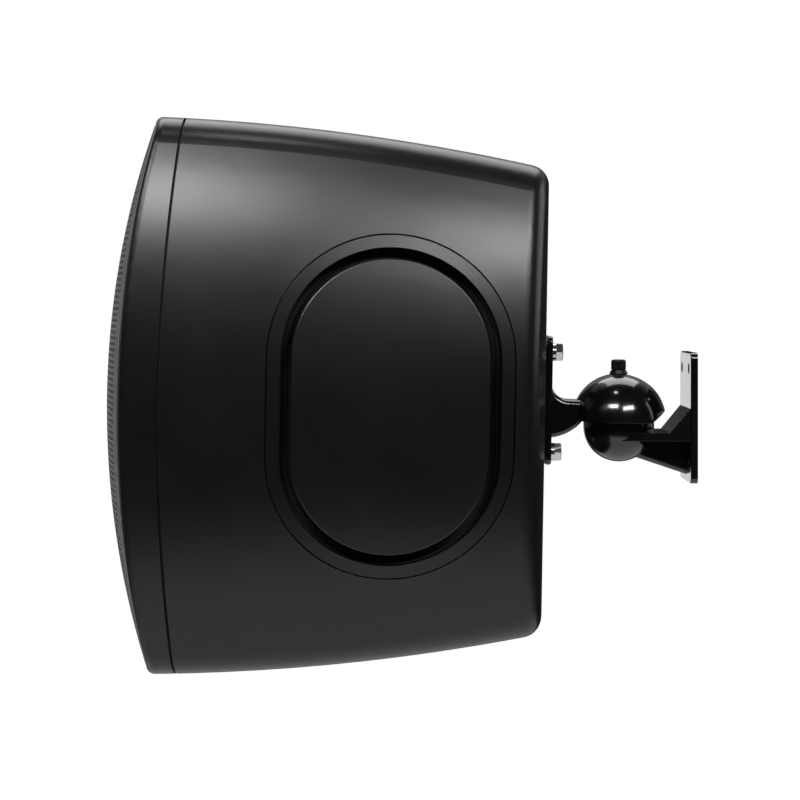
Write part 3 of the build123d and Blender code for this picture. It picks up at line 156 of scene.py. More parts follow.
class NodeBench:
    """Adds nodes to one material's or world's tree."""

    def __init__(self, tree: bpy.types.NodeTree) -> None:
        """Clears the tree and keeps it.

        Args:
            tree: the tree to fill.
        """
        self.tree = tree
        tree.nodes.clear()

    def node(self, kind: str, settings: dict[str, Any],
             sockets: dict[Union[str, int], Any]) -> bpy.types.Node:
        """Adds any node.

        Args:
            kind: the node's type name.
            settings: its properties, set first.
            sockets: numbers, colours, fields or output sockets by input name or index.

        Returns:
            The new node.
        """
        made = self.tree.nodes.new(kind)
        for name, setting in settings.items():
            setattr(made, name, setting)
        for key, given in sockets.items():
            target = made.inputs[key]
            if isinstance(given, Field):
                self.tree.links.new(given.socket, target)
            elif isinstance(given, bpy.types.NodeSocket):
                self.tree.links.new(given, target)
            else:
                target.default_value = given
        return made

    def value(self, kind: str, settings: dict[str, Any], sockets: dict[Union[str, int], Any],
              output: Union[str, int] = 0) -> Field:
        """Adds a node and gives one of its outputs.

        Args:
            kind: the node's type name.
            settings: its properties.
            sockets: its inputs.
            output: the output's name or index.

        Returns:
            The output as a field.
        """
        return Field(self, self.node(kind, settings, sockets).outputs[output])

    def place(self, stretch: Sequence[float] = (1.0, 1.0, 1.0)) -> bpy.types.NodeSocket:
        """Object coordinates, stretched along the axes.

        Args:
            stretch: factors for X, Y and Z.

        Returns:
            The vector output.
        """
        spot = self.node("ShaderNodeTexCoord", {}, {}).outputs["Object"]
        return self.node("ShaderNodeMapping", {}, {"Vector": spot, "Scale": tuple(stretch)}).outputs[0]

    def axis(self, name: str) -> Field:
        """One of the Object coordinates, "X", "Y" or "Z", in metres."""
        spot = self.node("ShaderNodeTexCoord", {}, {}).outputs["Object"]
        return self.value("ShaderNodeSeparateXYZ", {}, {0: spot}, name)

    def noise(self, size: float, detail: float = 2.0, stretch: Sequence[float] = (1.0, 1.0, 1.0)) -> Field:
        """Cloudy noise from 0 to 1.

        Args:
            size: the size of its blotches.
            detail: octaves of finer noise.
            stretch: factors for X, Y and Z.

        Returns:
            The noise.
        """
        return self.value("ShaderNodeTexNoise", {}, {
            "Vector": self.place(stretch), "Scale": 1.0 / size, "Detail": detail}, "Fac")

    def cells(self, size: float) -> Field:
        """Distance to the middle of the nearest pebble of this size, as on a moulded grain."""
        return self.value("ShaderNodeTexVoronoi", {"feature": "SMOOTH_F1"}, {
            "Vector": self.place(), "Scale": 1.0 / size}, "Distance")

    def blend(self, share: Field, first: Colour, second: Colour) -> bpy.types.NodeSocket:
        """Colour that goes from the first to the second as the share goes from 0 to 1.

        Args:
            share: the varying share.
            first: colour at 0.
            second: colour at 1.

        Returns:
            The colour output.
        """
        mixed = self.node("ShaderNodeMix", {"data_type": "RGBA"},
                          {0: share, 6: (*first, 1.0), 7: (*second, 1.0)})
        return mixed.outputs[2]

    def bump(self, height: Field, depth: float, strength: float, edge: float) -> bpy.types.NodeSocket:
        """Surface normal over a height field, with the sharp edges rounded off.

        Args:
            height: the height, about 0 to 1.
            depth: the depth of the relief.
            strength: the share of the relief that shows.
            edge: the radius that the sharp edges show.

        Returns:
            The normal output.
        """
        rounded = self.node("ShaderNodeBevel", {"samples": BEVEL_SAMPLES}, {"Radius": edge}).outputs[0]
        return self.node("ShaderNodeBump", {}, {
            "Strength": strength, "Distance": depth, "Height": height, "Normal": rounded}).outputs[0]


class Relief(Enum):
    """The small forms that a finish has on its surface."""

    GRAIN = "grain"
    PEEL = "peel"
    BRUSH = "brush"
    POWDER = "powder"
    WEAVE = "weave"
    WINDING = "winding"
    TRACKS = "tracks"


@dataclass(frozen=True)
class Finish:
    """One finish: colours, gloss and the relief that carries them.

    Attributes:
        name: name of the material.
        colour: main colour.
        tint: colour that it drifts towards in blotches.
        roughness: middle roughness.
        swing: how far the roughness moves either way.
        relief: kind of small forms.
        size: size of the small forms.
        depth: depth of the small forms.
        strength: share of the relief that shows.
        metallic: 1 for bare metal.
        coat: weight of a clear coat.
        coat_roughness: roughness of the clear coat.
        edge: radius that its sharp edges show.
    """

    name: str
    colour: Colour
    tint: Colour
    roughness: float
    swing: float
    relief: Relief
    size: float
    depth: float
    strength: float = 0.5
    metallic: float = 0.0
    coat: float = 0.0
    coat_roughness: float = 0.1
    edge: float = 0.0003

    def height(self, bench: NodeBench) -> Field:
        """Height field of the relief.

        Grain is pebbles under wider clouds, peel is soft waves with ripples on them, brushing is noise drawn
        out along one axis, a weave is the product of two sines, a winding is one sine with a wobble, tracks
        are a brick pattern, and powder is fine noise.

        Args:
            bench: the material's node maker.

        Returns:
            Heights of about 0 to 1.
        """
        if self.relief is Relief.GRAIN:
            pebbles, clouds = bench.cells(self.size), bench.noise(self.size * 2.5)
            return pebbles * 0.7 + clouds * 0.6
        if self.relief is Relief.PEEL:
            waves, ripples = bench.noise(self.size, 1.0), bench.noise(self.size / 4, 1.0)
            return waves + ripples * 0.15
        if self.relief is Relief.BRUSH:
            strokes, clouds = bench.noise(self.size, 3.0, (1.0, 1.0, 12.0)), bench.noise(self.size * 6)
            return strokes + clouds * 0.3
        turn = 2 * math.pi / self.size
        if self.relief is Relief.WEAVE:
            across = (bench.axis("Y") * turn).sine()
            along = (bench.axis("Z") * turn).sine()
            return across * along * 0.5 + 0.5
        if self.relief is Relief.WINDING:
            turns, wobble = (bench.axis("X") * turn).sine(), bench.noise(self.size * 4)
            return turns * 0.5 + wobble * 0.3
        if self.relief is Relief.TRACKS:
            return bench.value("ShaderNodeTexBrick", {}, {
                "Vector": bench.place(), "Scale": 0.25 / self.size, "Mortar Size": 0.03}, "Fac")
        return bench.noise(self.size, 4.0)

    def material(self) -> bpy.types.Material:
        """Makes the material, or gives the one already made.

        Returns:
            The material.
        """
        if self.name in bpy.data.materials:
            return bpy.data.materials[self.name]
        made = bpy.data.materials.new(self.name)
        made.use_nodes = True
        bench = NodeBench(made.node_tree)
        height = self.height(bench)
        drift = bench.noise(BLOTCH_SIZE, BLOTCH_DETAIL)
        share = drift * BLOTCH_IN_COLOUR + height * (1 - BLOTCH_IN_COLOUR)
        wear = drift * BLOTCH_IN_GLOSS + height * (1 - BLOTCH_IN_GLOSS)
        polish = self.roughness + (wear - 0.5) * (2 * self.swing)
        shader = bench.node("ShaderNodeBsdfPrincipled", {}, {
            "Base Color": bench.blend(share.step(*TINT_SPAN), self.colour, self.tint),
            "Roughness": polish,
            "Metallic": self.metallic,
            "Coat Weight": self.coat,
            "Coat Roughness": self.coat_roughness,
            "Normal": bench.bump(height, self.depth, self.strength, self.edge),
        })
        bench.node("ShaderNodeOutputMaterial", {}, {"Surface": shader.outputs[0]})
        return made


CABINET_BLACK = Finish("cabinet_black", (0.0045, 0.0045, 0.0048), (0.0065, 0.0065, 0.0068), 0.29, 0.04,
                       Relief.GRAIN, 0.0006, 0.00002, strength=0.15)
TRIM_BLACK = Finish("trim_black", (0.0042, 0.0042, 0.0045), (0.006, 0.006, 0.0063), 0.28, 0.04,
                    Relief.GRAIN, 0.0005, 0.00002, strength=0.15)
PANEL_BLACK = Finish("panel_black", (0.0042, 0.0042, 0.0045), (0.006, 0.006, 0.0063), 0.3, 0.04,
                     Relief.GRAIN, 0.0007, 0.00002, strength=0.15)
CUP_BLACK = Finish("cup_black", (0.012, 0.012, 0.0125), (0.016, 0.016, 0.0165), 0.45, 0.06,
                   Relief.GRAIN, 0.0004, 0.00002, strength=0.3)
RUBBER = Finish("rubber", (0.004, 0.004, 0.004), (0.007, 0.007, 0.007), 0.72, 0.08,
                Relief.POWDER, 0.0008, 0.00003)
GRILLE_PAINT = Finish("grille_paint", (0.009, 0.009, 0.0094), (0.013, 0.013, 0.0134), 0.53, 0.06,
                      Relief.POWDER, 0.0005, 0.00002)
CASTING = Finish("casting_gloss", (0.003, 0.003, 0.0032), (0.005, 0.005, 0.0053), 0.16, 0.04,
                 Relief.PEEL, 0.003, 0.00006, strength=0.35, coat=0.6, coat_roughness=0.05, edge=0.0008)
ZINC = Finish("zinc_plate", (0.72, 0.71, 0.68), (0.6, 0.6, 0.56), 0.17, 0.05,
              Relief.BRUSH, 0.0012, 0.00001, strength=0.25, metallic=1.0)
BLACK_STEEL = Finish("black_steel", (0.02, 0.02, 0.021), (0.035, 0.034, 0.033), 0.3, 0.06,
                     Relief.BRUSH, 0.0008, 0.00001, strength=0.4, metallic=0.35,
                     coat=0.3, coat_roughness=0.12)
PLAIN_STEEL = Finish("plain_steel", (0.55, 0.55, 0.56), (0.45, 0.45, 0.46), 0.34, 0.08,
                     Relief.BRUSH, 0.001, 0.00002, strength=0.4, metallic=1.0)
BRASS = Finish("brass_plate", (0.78, 0.56, 0.24), (0.66, 0.45, 0.18), 0.24, 0.06,
               Relief.BRUSH, 0.001, 0.00001, strength=0.4, metallic=1.0)
BASKET = Finish("basket_coat", (0.014, 0.014, 0.014), (0.02, 0.02, 0.02), 0.42, 0.06,
                Relief.POWDER, 0.0006, 0.00003)
CONE = Finish("cone_black", (0.02, 0.02, 0.022), (0.03, 0.03, 0.032), 0.4, 0.06,
              Relief.POWDER, 0.0015, 0.00005)
COIL_WIRE = Finish("coil_wire", (0.55, 0.24, 0.1), (0.4, 0.16, 0.06), 0.3, 0.05,
                   Relief.WINDING, 0.0005, 0.0002, strength=0.8, metallic=1.0)
SPIDER_CLOTH = Finish("spider_cloth", (0.55, 0.4, 0.14), (0.45, 0.3, 0.1), 0.8, 0.08,
                      Relief.WEAVE, 0.0012, 0.0003, strength=0.7)
DOME_CLOTH = Finish("dome_cloth", (0.015, 0.015, 0.016), (0.024, 0.024, 0.025), 0.62, 0.06,
                    Relief.WEAVE, 0.0007, 0.0001, strength=0.6)
FERRITE = Finish("ferrite", (0.05, 0.05, 0.052), (0.075, 0.073, 0.07), 0.6, 0.08,
                 Relief.POWDER, 0.001, 0.00008)
BOARD = Finish("board_green", (0.02, 0.11, 0.045), (0.04, 0.19, 0.08), 0.35, 0.08,
               Relief.TRACKS, 0.0025, 0.00008, strength=0.6)
CAPACITOR = Finish("capacitor_yellow", (0.6, 0.44, 0.05), (0.68, 0.52, 0.1), 0.3, 0.05,
                   Relief.PEEL, 0.002, 0.00005)
CAP_RED = Finish("cap_red", (0.42, 0.012, 0.01), (0.5, 0.025, 0.02), 0.22, 0.05,
                 Relief.PEEL, 0.001, 0.00002, strength=0.4, coat=0.5, coat_roughness=0.06)
CAP_BLACK = Finish("cap_black", (0.01, 0.01, 0.0105), (0.016, 0.016, 0.0165), 0.22, 0.05,
                   Relief.PEEL, 0.001, 0.00002, strength=0.4, coat=0.5, coat_roughness=0.06)


@dataclass(frozen=True)
class SubAssembly:
    """Solids that belong together, with their finishes.

    Attributes:
        name: what the solids make up.
        finishes: each finish with the names of the solids that have it.
    """

    name: str
    finishes: tuple[tuple[Finish, tuple[str, ...]], ...]

    def dress(self) -> None:
        """Gives every solid its finish."""
        for finish, solids in self.finishes:
            for solid in solids:
                for place in frame["nodes"][solid].material_slots:
                    place.material = finish.material()
        log.info("%s dressed in %d finishes", self.name, len(self.finishes))


WALL_MOUNT = SubAssembly("wall mount", (
    (CASTING, ("wall_bracket", "speaker_bracket")),
    (BLACK_STEEL, ("saddle_washer",)),
    (ZINC, ("bracket_bolts", "bracket_washers", "bracket_lock_washers")),
    (BRASS, ("threaded_inserts",)),
))
HOUSING = SubAssembly("housing", (
    (CABINET_BLACK, ("cabinet",)),
    (TRIM_BLACK, ("front_baffle", "radiator_frame_left", "radiator_frame_right")),
    (PANEL_BLACK, ("radiator_panel_left", "radiator_panel_right")),
    (RUBBER, ("baffle_seal", "radiator_surround_left", "radiator_surround_right")),
    (BLACK_STEEL, ("baffle_screws",)),
))
DRIVERS = SubAssembly("drivers", (
    (BASKET, ("woofer_frame",)),
    (RUBBER, ("woofer_surround",)),
    (CONE, ("woofer_cone", "dust_cap")),
    (COIL_WIRE, ("woofer_voice_coil", "crossover_inductor")),
    (SPIDER_CLOTH, ("woofer_spider",)),
    (PLAIN_STEEL, ("woofer_top_plate", "woofer_yoke", "board_screws")),
    (FERRITE, ("woofer_magnet", "tweeter_magnet")),
    (BLACK_STEEL, ("woofer_screws", "tweeter_screws")),
    (TRIM_BLACK, ("tweeter_waveguide",)),
    (DOME_CLOTH, ("tweeter_dome",)),
    (BOARD, ("crossover_board",)),
    (CAPACITOR, ("crossover_capacitors",)),
))
TERMINALS = SubAssembly("terminals", (
    (CUP_BLACK, ("terminal_cup",)),
    (BLACK_STEEL, ("terminal_screws",)),
    (BRASS, ("terminal_post_red", "terminal_post_black", "terminal_nuts")),
    (CAP_RED, ("terminal_cap_red",)),
    (CAP_BLACK, ("terminal_cap_black",)),
))


def mesh_piece(name: str, points: np.ndarray, faces: Sequence[np.ndarray], finish: Finish, body: str,
               smooth: bool = True) -> bpy.types.Object:
    """Puts worked-out points and faces into a piece that rides on a body.

    Args:
        name: name of the piece.
        points: n by 3 array of places.
        faces: arrays of corner numbers, one row to a face; each array has one number of corners.
        finish: its finish.
        body: the body that carries it.
        smooth: whether its faces shade smoothly.

    Returns:
        The new object.
    """
    mesh = bpy.data.meshes.new(name)
    corners = np.concatenate([block.ravel() for block in faces]).astype(np.int32)
    totals = np.concatenate([np.full(len(block), block.shape[1]) for block in faces]).astype(np.int32)
    starts = np.concatenate([[0], np.cumsum(totals)[:-1]]).astype(np.int32)
    mesh.vertices.add(len(points))
    mesh.vertices.foreach_set("co", np.ascontiguousarray(points, dtype=np.float32).ravel())
    mesh.loops.add(len(corners))
    mesh.loops.foreach_set("vertex_index", corners)
    mesh.polygons.add(len(totals))
    mesh.polygons.foreach_set("loop_start", starts)
    mesh.update(calc_edges=True)
    mesh.validate()
    mesh.polygons.foreach_set("use_smooth", np.full(len(mesh.polygons), smooth))
    mesh.materials.append(finish.material())
    piece = bpy.data.objects.new(name, mesh)
    bpy.context.scene.collection.objects.link(piece)
    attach(piece, body)
    log.info("piece %s with %d faces on %s", name, len(mesh.polygons), body)
    return piece


def grid_faces(rows: int, columns: int, wrap_rows: bool = False) -> np.ndarray:
    """Quads between the neighbours of a grid of points whose last column joins the first.

    Args:
        rows: number of rows.
        columns: number of columns.
        wrap_rows: whether the last row joins the first too.

    Returns:
        Array of quads, numbered row by row.
    """
    row = np.arange(rows if wrap_rows else rows - 1)[:, None]
    column = np.arange(columns)[None, :]
    below = ((row + 1) % rows) * columns
    beside = (column + 1) % columns
    quads = [row * columns + column, row * columns + beside, below + beside, below + column]
    return np.stack([np.broadcast_to(q, (row.size, column.size)) for q in quads], axis=-1).reshape(-1, 4)


@dataclass
class Head:
    """Where the speaker's own level frame stands: it is built level and then raised a little about the ball.

    Attributes:
        ball: centre of the ball.
        tilt: how far the nose is raised, in radians.
        rise: height of the cabinet's middle above the ball.
        front: distance from the ball to the middle of the grille.
    """

    ball: np.ndarray = field(init=False)
    tilt: float = field(init=False)
    rise: float = 0.0164
    front: float = 0.3038

    def __post_init__(self) -> None:
        """Reads the ball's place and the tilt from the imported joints."""
        joints = {joint["name"]: joint for joint in frame["joints"]}
        self.ball = np.array(joints["pan"]["pos_m"])
        stroke = joints["woofer_stroke"]["axis"]
        self.tilt = math.atan2(stroke[2], -stroke[0])

    def aimed(self, points: np.ndarray) -> np.ndarray:
        """Turns points of the level frame about the ball's Y axis by the tilt.

        Args:
            points: n by 3 array from the grille's crest: depth behind it, Y, and height over the middle.

        Returns:
            n by 3 array in the frame of the solids.
        """
        x = points[:, 0] - self.front
        z = points[:, 2] + self.rise
        turned = np.stack([x * math.cos(self.tilt) + z * math.sin(self.tilt), points[:, 1],
                           z * math.cos(self.tilt) - x * math.sin(self.tilt)], axis=1)
        return turned + self.ball


@dataclass
class FrontGrille:
    """Perforated steel grille: a doubly curved sheet of hexagon holes with a rolled edge.

    Attributes:
        side_r: radius of the sheet in side view.
        plan_r: radius of the sheet in plan.
        half_height: half height of the cabinet's crest.
        half_width: half width of the cabinet's crest.
        crest: depth of the cabinet's crest behind the grille's.
        profile_r: radius of the cabinet's long top and bottom arcs.
        width_r: radius of the cabinet's long side arcs in plan.
        side_crown: radius of the outline's sides.
        top_crown: radius of the outline's top and bottom.
        corner_r: radius of the cabinet's corners.
        inset: distance from the cabinet's outside to the grille's edge.
        pitch: distance between holes.
        web: share of the pitch that is metal between holes.
        border: width of the edge without holes.
        thickness: thickness of the sheet.
        skirt: depth of the rolled edge.
        tuck: how far inside the rolled edge's outline the sheet ends.
        bend: radius of the rolled edge's turn.
        lip: width of the rolled edge over the sheet.
        lip_chamfer: chamfer of that lip.
        skirt_wall: thickness of the skirt.
        outline_steps: points along the rolled edge.
        bend_steps: points round its turn.
        edge_passes: times that the outline is worked out again at its own depth.
    """

    side_r: float = 0.498
    plan_r: float = 0.325
    half_height: float = 0.1623
    half_width: float = 0.105
    crest: float = 0.004
    profile_r: float = 1.2
    width_r: float = 2.4
    side_crown: float = 0.39
    top_crown: float = 0.6
    corner_r: float = 0.026
    inset: float = 0.0044
    pitch: float = 0.0038
    web: float = 0.42
    border: float = 0.0045
    thickness: float = 0.001
    skirt: float = 0.008
    tuck: float = 0.0012
    bend: float = 0.0016
    lip: float = 0.0026
    lip_chamfer: float = 0.0004
    skirt_wall: float = 0.0011
    outline_steps: int = 480
    bend_steps: int = 7
    edge_passes: int = 4

    def depth(self, y: np.ndarray, z: np.ndarray) -> np.ndarray:
        """Depth of the sheet behind its crest.

        The plan arc of plan_r is turned about a Y axis at side_r behind the crest, so its distance from that
        axis at y is side_r less the plan arc's fall, and the sheet lies on the circle of that distance.

        Args:
            y: places across.
            z: heights over the middle.

        Returns:
            Depths.
        """
        distance = self.side_r - (self.plan_r - np.sqrt(self.plan_r ** 2 - y ** 2))
        return self.side_r - np.sqrt(distance ** 2 - z ** 2)

    def edge(self, angle: np.ndarray, inset: float) -> np.ndarray:
        """Distance from the middle to the outline in a direction.

        In one quarter the outline is a side arc, a top arc, and a corner arc that touches both. A ray from
        the middle meets each circle at d.c + sqrt((d.c)^2 - c.c + r^2), and the directions of the two
        touching points choose the arc. The cabinet narrows with depth, so the depth of the last answer gives
        the sizes of the next.

        Args:
            angle: directions from +Y towards +Z.
            inset: distance from the cabinet's outside.

        Returns:
            Distances.
        """
        dy, dz = np.abs(np.cos(angle)), np.abs(np.sin(angle))
        zero = np.zeros_like(dy)
        towards = np.arctan2(dz, dy)

        def meets(cy: np.ndarray, cz: np.ndarray, radius: np.ndarray) -> np.ndarray:
            """Far meeting point of the rays with circles."""
            inward = dy * cy + dz * cz
            return inward + np.sqrt(np.maximum(inward ** 2 - cy ** 2 - cz ** 2 + radius ** 2, 0.0))

        reach = np.full(angle.shape, self.half_width)
        for _ in range(self.edge_passes):
            behind = self.depth(reach * dy, reach * dz) - self.crest
            full = self.half_height - behind ** 2 / (2 * self.profile_r)
            high = full - inset
            wide = self.half_width - behind ** 2 / (2 * self.width_r) - inset
            side = self.side_crown * full / self.half_height - inset
            top = self.top_crown - inset
            corner = self.corner_r - inset
            side_y, top_z = wide - side, high - top
            apart = np.hypot(side_y, top_z)
            along = (apart ** 2 + (side - corner) ** 2 - (top - corner) ** 2) / (2 * apart)
            off = np.sqrt((side - corner) ** 2 - along ** 2)
            ey, ez = -side_y / apart, top_z / apart
            corner_y = side_y + along * ey - off * ez
            corner_z = along * ez + off * ey
            past_side, past_top = side / (side - corner), top / (top - corner)
            side_end = np.arctan2(corner_z * past_side, side_y + (corner_y - side_y) * past_side)
            top_start = np.arctan2(top_z + (corner_z - top_z) * past_top, corner_y * past_top)
            reach = np.where(towards < side_end, meets(side_y, zero, side),
                             np.where(towards > top_start, meets(zero, top_z, top + zero),
                                      meets(corner_y, corner_z, corner + zero)))
        return reach

    def sheet(self, head: Head) -> bpy.types.Object:
        """Makes the perforated sheet.

        Hexagon cells stand on a honeycomb of the pitch. A cell has an outer and an inner hexagon; the inner
        one is a hole, or is closed by a face where the cell comes near the edge. Corners that fall outside
        the outline slide in to it along the line to the middle. A second layer lies behind the first, with
        walls in the holes and round the edge.

        Args:
            head: the level frame.

        Returns:
            The sheet.
        """
        up = self.pitch * math.sqrt(3) / 2
        rows = int(self.half_height / up) + 2
        columns = int(self.half_width / self.pitch) + 2
        row, column = np.meshgrid(np.arange(-rows, rows + 1), np.arange(-columns, columns + 1), indexing="ij")
        centre = np.stack([(column + 0.5 * (row % 2)) * self.pitch, row * up], axis=-1).reshape(-1, 2)
        turn = np.radians(30 + 60 * np.arange(6))
        spoke = np.stack([np.cos(turn), np.sin(turn)], axis=-1) * self.pitch / math.sqrt(3)
        outer = centre[:, None, :] + spoke
        inner = centre[:, None, :] + spoke * (1 - self.web)
        inset = self.inset + self.tuck

        def gauge(spots: np.ndarray) -> np.ndarray:
            """Distance from the middle as a share of the outline's."""
            y, z = spots[..., 0], spots[..., 1]
            return np.hypot(y, z) / self.edge(np.arctan2(z, y), inset)

        share = gauge(outer)
        kept = (share < 1).any(axis=1)
        outer, inner, share = outer[kept], inner[kept], share[kept]
        open_cell = share.max(axis=1) < 1 - self.border / self.half_width
        outer = outer / np.maximum(share, 1)[..., None]
        inner = inner / np.maximum(gauge(inner), 1)[..., None]
        weld = self.pitch / 400
        key = np.round(outer.reshape(-1, 2) / weld).astype(np.int64)
        _, first, shared = np.unique(key, axis=0, return_index=True, return_inverse=True)
        corner = shared.reshape(-1, 6)
        flat = np.concatenate([outer.reshape(-1, 2)[first], inner.reshape(-1, 2)])
        hole = len(first) + np.arange(len(inner) * 6).reshape(-1, 6)
        following = np.roll(np.arange(6), -1)
        band = np.stack([corner, corner[:, following], hole[:, following], hole], axis=-1).reshape(-1, 4)
        lid = hole[~open_cell]
        front = np.stack([self.depth(flat[:, 0], flat[:, 1]), flat[:, 0], flat[:, 1]], axis=-1)
        back = front + np.array([self.thickness, 0.0, 0.0])
        count = len(front)
        ring = hole[open_cell]
        beside = ring[:, following]
        wall = np.stack([ring, beside, beside + count, ring + count], axis=-1).reshape(-1, 4)
        sides = np.stack([corner, corner[:, following]], axis=-1).reshape(-1, 2)
        _, first_side, uses = np.unique(np.sort(sides, axis=1), axis=0, return_index=True, return_counts=True)
        rim = sides[first_side[uses == 1]]
        rim = rim[rim[:, 0] != rim[:, 1]]
        border = np.stack([rim[:, 0], rim[:, 1], rim[:, 1] + count, rim[:, 0] + count], axis=-1)
        faces = [band[:, ::-1], band + count, wall[:, ::-1], border, lid[:, ::-1], lid + count]
        points = head.aimed(np.concatenate([front, back]))
        return mesh_piece("grille_sheet", points, faces, GRILLE_PAINT, "head", smooth=False)

    def rolled_edge(self, head: Head) -> bpy.types.Object:
        """Makes the rolled edge that closes the sheet and drops into the rim.

        A closed profile of distances (in from the outline, behind the sheet) is carried along the outline,
        with a quarter circle where the sheet turns into its skirt.

        Args:
            head: the level frame.

        Returns:
            The edge.
        """
        arc = np.linspace(0, math.pi / 2, self.bend_steps)
        wall = self.skirt_wall
        profile = np.concatenate([
            [[self.lip, self.lip_chamfer], [self.lip - self.lip_chamfer, 0.0]],
            np.stack([1 - np.sin(arc), 1 - np.cos(arc)], axis=-1) * self.bend,
            [[0.0, self.skirt], [wall, self.skirt], [wall, 2 * wall], [self.lip, self.bend]]])
        angle = np.linspace(0, 2 * math.pi, self.outline_steps, endpoint=False)
        reach = self.edge(angle, self.inset)
        outline = np.stack([reach * np.cos(angle), reach * np.sin(angle)], axis=-1)
        along = np.roll(outline, -1, axis=0) - np.roll(outline, 1, axis=0)
        inward = np.stack([-along[:, 1], along[:, 0]], axis=-1) / np.linalg.norm(along, axis=1, keepdims=True)
        spots = outline[:, None, :] + inward[:, None, :] * profile[None, :, :1]
        behind = self.depth(spots[..., 0], spots[..., 1]) + profile[None, :, 1]
        points = np.concatenate([behind[..., None], spots], axis=-1).reshape(-1, 3)
        faces = grid_faces(len(angle), len(profile), wrap_rows=True)
        return mesh_piece("grille_edge", head.aimed(points), [faces], GRILLE_PAINT, "head")

    def build(self, head: Head) -> None:
        """Makes both pieces, which stand for the plain grille.

        Args:
            head: the level frame.
        """
        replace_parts(self.sheet(head), "grille")
        self.rolled_edge(head)


@dataclass
class Lathe:
    """A turned solid whose sections need not be round.

    Attributes:
        heights: height of each section along the axis, from the foot to the end.
        radii: sections by angles array of radii.
    """

    heights: np.ndarray
    radii: np.ndarray

    def points(self) -> np.ndarray:
        """Points of the sections, row by row, then the two end points on the axis.

        Each section is r(angle) at its height; the angle runs evenly round the axis.

        Returns:
            n by 3 array with the axis along Z.
        """
        angle = np.linspace(0, 2 * math.pi, self.radii.shape[1], endpoint=False)
        rings = np.stack([self.radii * np.cos(angle), self.radii * np.sin(angle),
                          np.broadcast_to(self.heights[:, None], self.radii.shape)], axis=-1)
        ends = [[0.0, 0.0, self.heights[0]], [0.0, 0.0, self.heights[-1]]]
        return np.concatenate([rings.reshape(-1, 3), ends])

    def faces(self) -> list[np.ndarray]:
        """Quads between the sections and a fan at each end.

        Returns:
            Array of quads and array of triangles.
        """
        rows, columns = self.radii.shape
        here = np.arange(columns)
        beside = (here + 1) % columns
        last = (rows - 1) * columns
        foot = np.stack([np.full(columns, rows * columns), beside, here], axis=-1)
        end = np.stack([np.full(columns, rows * columns + 1), last + here, last + beside], axis=-1)
        return [grid_faces(rows, columns), np.concatenate([foot, end])]


@dataclass
class ClampScrew:
    """Socket-head screw on top of the cup: straight knurl on the head, hexagon socket in its end.

    Attributes:
        foot: height of the shank's foot over the ball's centre.
        seat: height of the head's underside.
        head_h: height of the head.
        shank_r: radius of the shank.
        head_r: radius of the head.
        socket_r: half the socket's width across flats.
        socket_depth: depth of the socket.
        ridges: ridges of the knurl.
        ridge_depth: depth of the knurl.
        ridge_steps: points round each ridge.
        chamfer: chamfer of the foot and of the head's underside.
        run_in: length of each of the two steps that lead into the knurl.
        run_out: distance from the head's end to the knurl.
        crown: distances down from the head's end and in from its radius, along its rounded edge.
        socket_chamfer: chamfer of the socket's mouth.
    """

    foot: float = 0.0056
    seat: float = 0.0334
    head_h: float = 0.0064
    shank_r: float = 0.0025
    head_r: float = 0.00445
    socket_r: float = 0.002
    socket_depth: float = 0.0032
    ridges: int = 36
    ridge_depth: float = 0.00025
    ridge_steps: int = 6
    chamfer: float = 0.0005
    run_in: float = 0.0003
    run_out: float = 0.0011
    crown: tuple[Span, ...] = ((0.0007, 0.00025), (0.0002, 0.0006), (0.0, 0.0011))
    socket_chamfer: float = 0.0002

    def build(self, head: Head) -> None:
        """Makes the screw, which stands for the plain bolt.

        Args:
            head: gives the ball's centre.
        """
        angle = np.linspace(0, 2 * math.pi, self.ridges * self.ridge_steps, endpoint=False)
        round_section = np.ones_like(angle)
        knurl = self.head_r - self.ridge_depth * (0.5 - 0.5 * np.cos(self.ridges * angle))
        hexagon = self.socket_r / np.cos((angle + math.pi / 6) % (math.pi / 3) - math.pi / 6)
        top = self.seat + self.head_h
        rows = [
            (self.foot, round_section * (self.shank_r - self.chamfer)),
            (self.foot + self.chamfer, round_section * self.shank_r),
            (self.seat, round_section * self.shank_r),
            (self.seat, round_section * (self.head_r - self.chamfer)),
            (self.seat + self.run_in, round_section * (self.head_r - self.ridge_depth)),
            (self.seat + 2 * self.run_in, knurl),
            (top - self.run_out, knurl),
            *((top - down, round_section * (self.head_r - inwards)) for down, inwards in self.crown),
            (top, hexagon + self.socket_chamfer),
            (top - self.socket_chamfer, hexagon),
            (top - self.socket_depth, hexagon),
        ]
        lathe = Lathe(np.array([row[0] for row in rows]), np.array([row[1] for row in rows]))
        screw = mesh_piece("clamp_screw", lathe.points() + head.ball, lathe.faces(), BLACK_STEEL,
                           "wall_bracket", smooth=False)
        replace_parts(screw, "clamp_bolt")


@dataclass(frozen=True)
class Softbox:
    """A rectangular soft light that looks at a point.

    Attributes:
        name: name of the lamp.
        azimuth: direction from the target, from the camera's side towards +X, in degrees.
        elevation: height over the horizon, in degrees.
        distance: distance from the target.
        width: width of the light.
        height: height of the light.
        power: power in watts.
    """

    name: str
    azimuth: float
    elevation: float
    distance: float
    width: float
    height: float
    power: float

    def hang(self, target: Vector) -> None:
        """Puts the lamp into the scene.

        Args:
            target: the point that it looks at.
        """
        lamp = bpy.data.lights.new(self.name, "AREA")
        lamp.shape = "RECTANGLE"
        lamp.size = self.width
        lamp.size_y = self.height
        lamp.energy = self.power
        holder = bpy.data.objects.new(self.name, lamp)
        turn, rise = math.radians(self.azimuth), math.radians(self.elevation)
        away = Vector((math.sin(turn) * math.cos(rise), -math.cos(turn) * math.cos(rise), math.sin(rise)))
        holder.location = target + away * self.distance
        holder.rotation_euler = (-away).to_track_quat("-Z", "Y").to_euler()
        bpy.context.scene.collection.objects.link(holder)


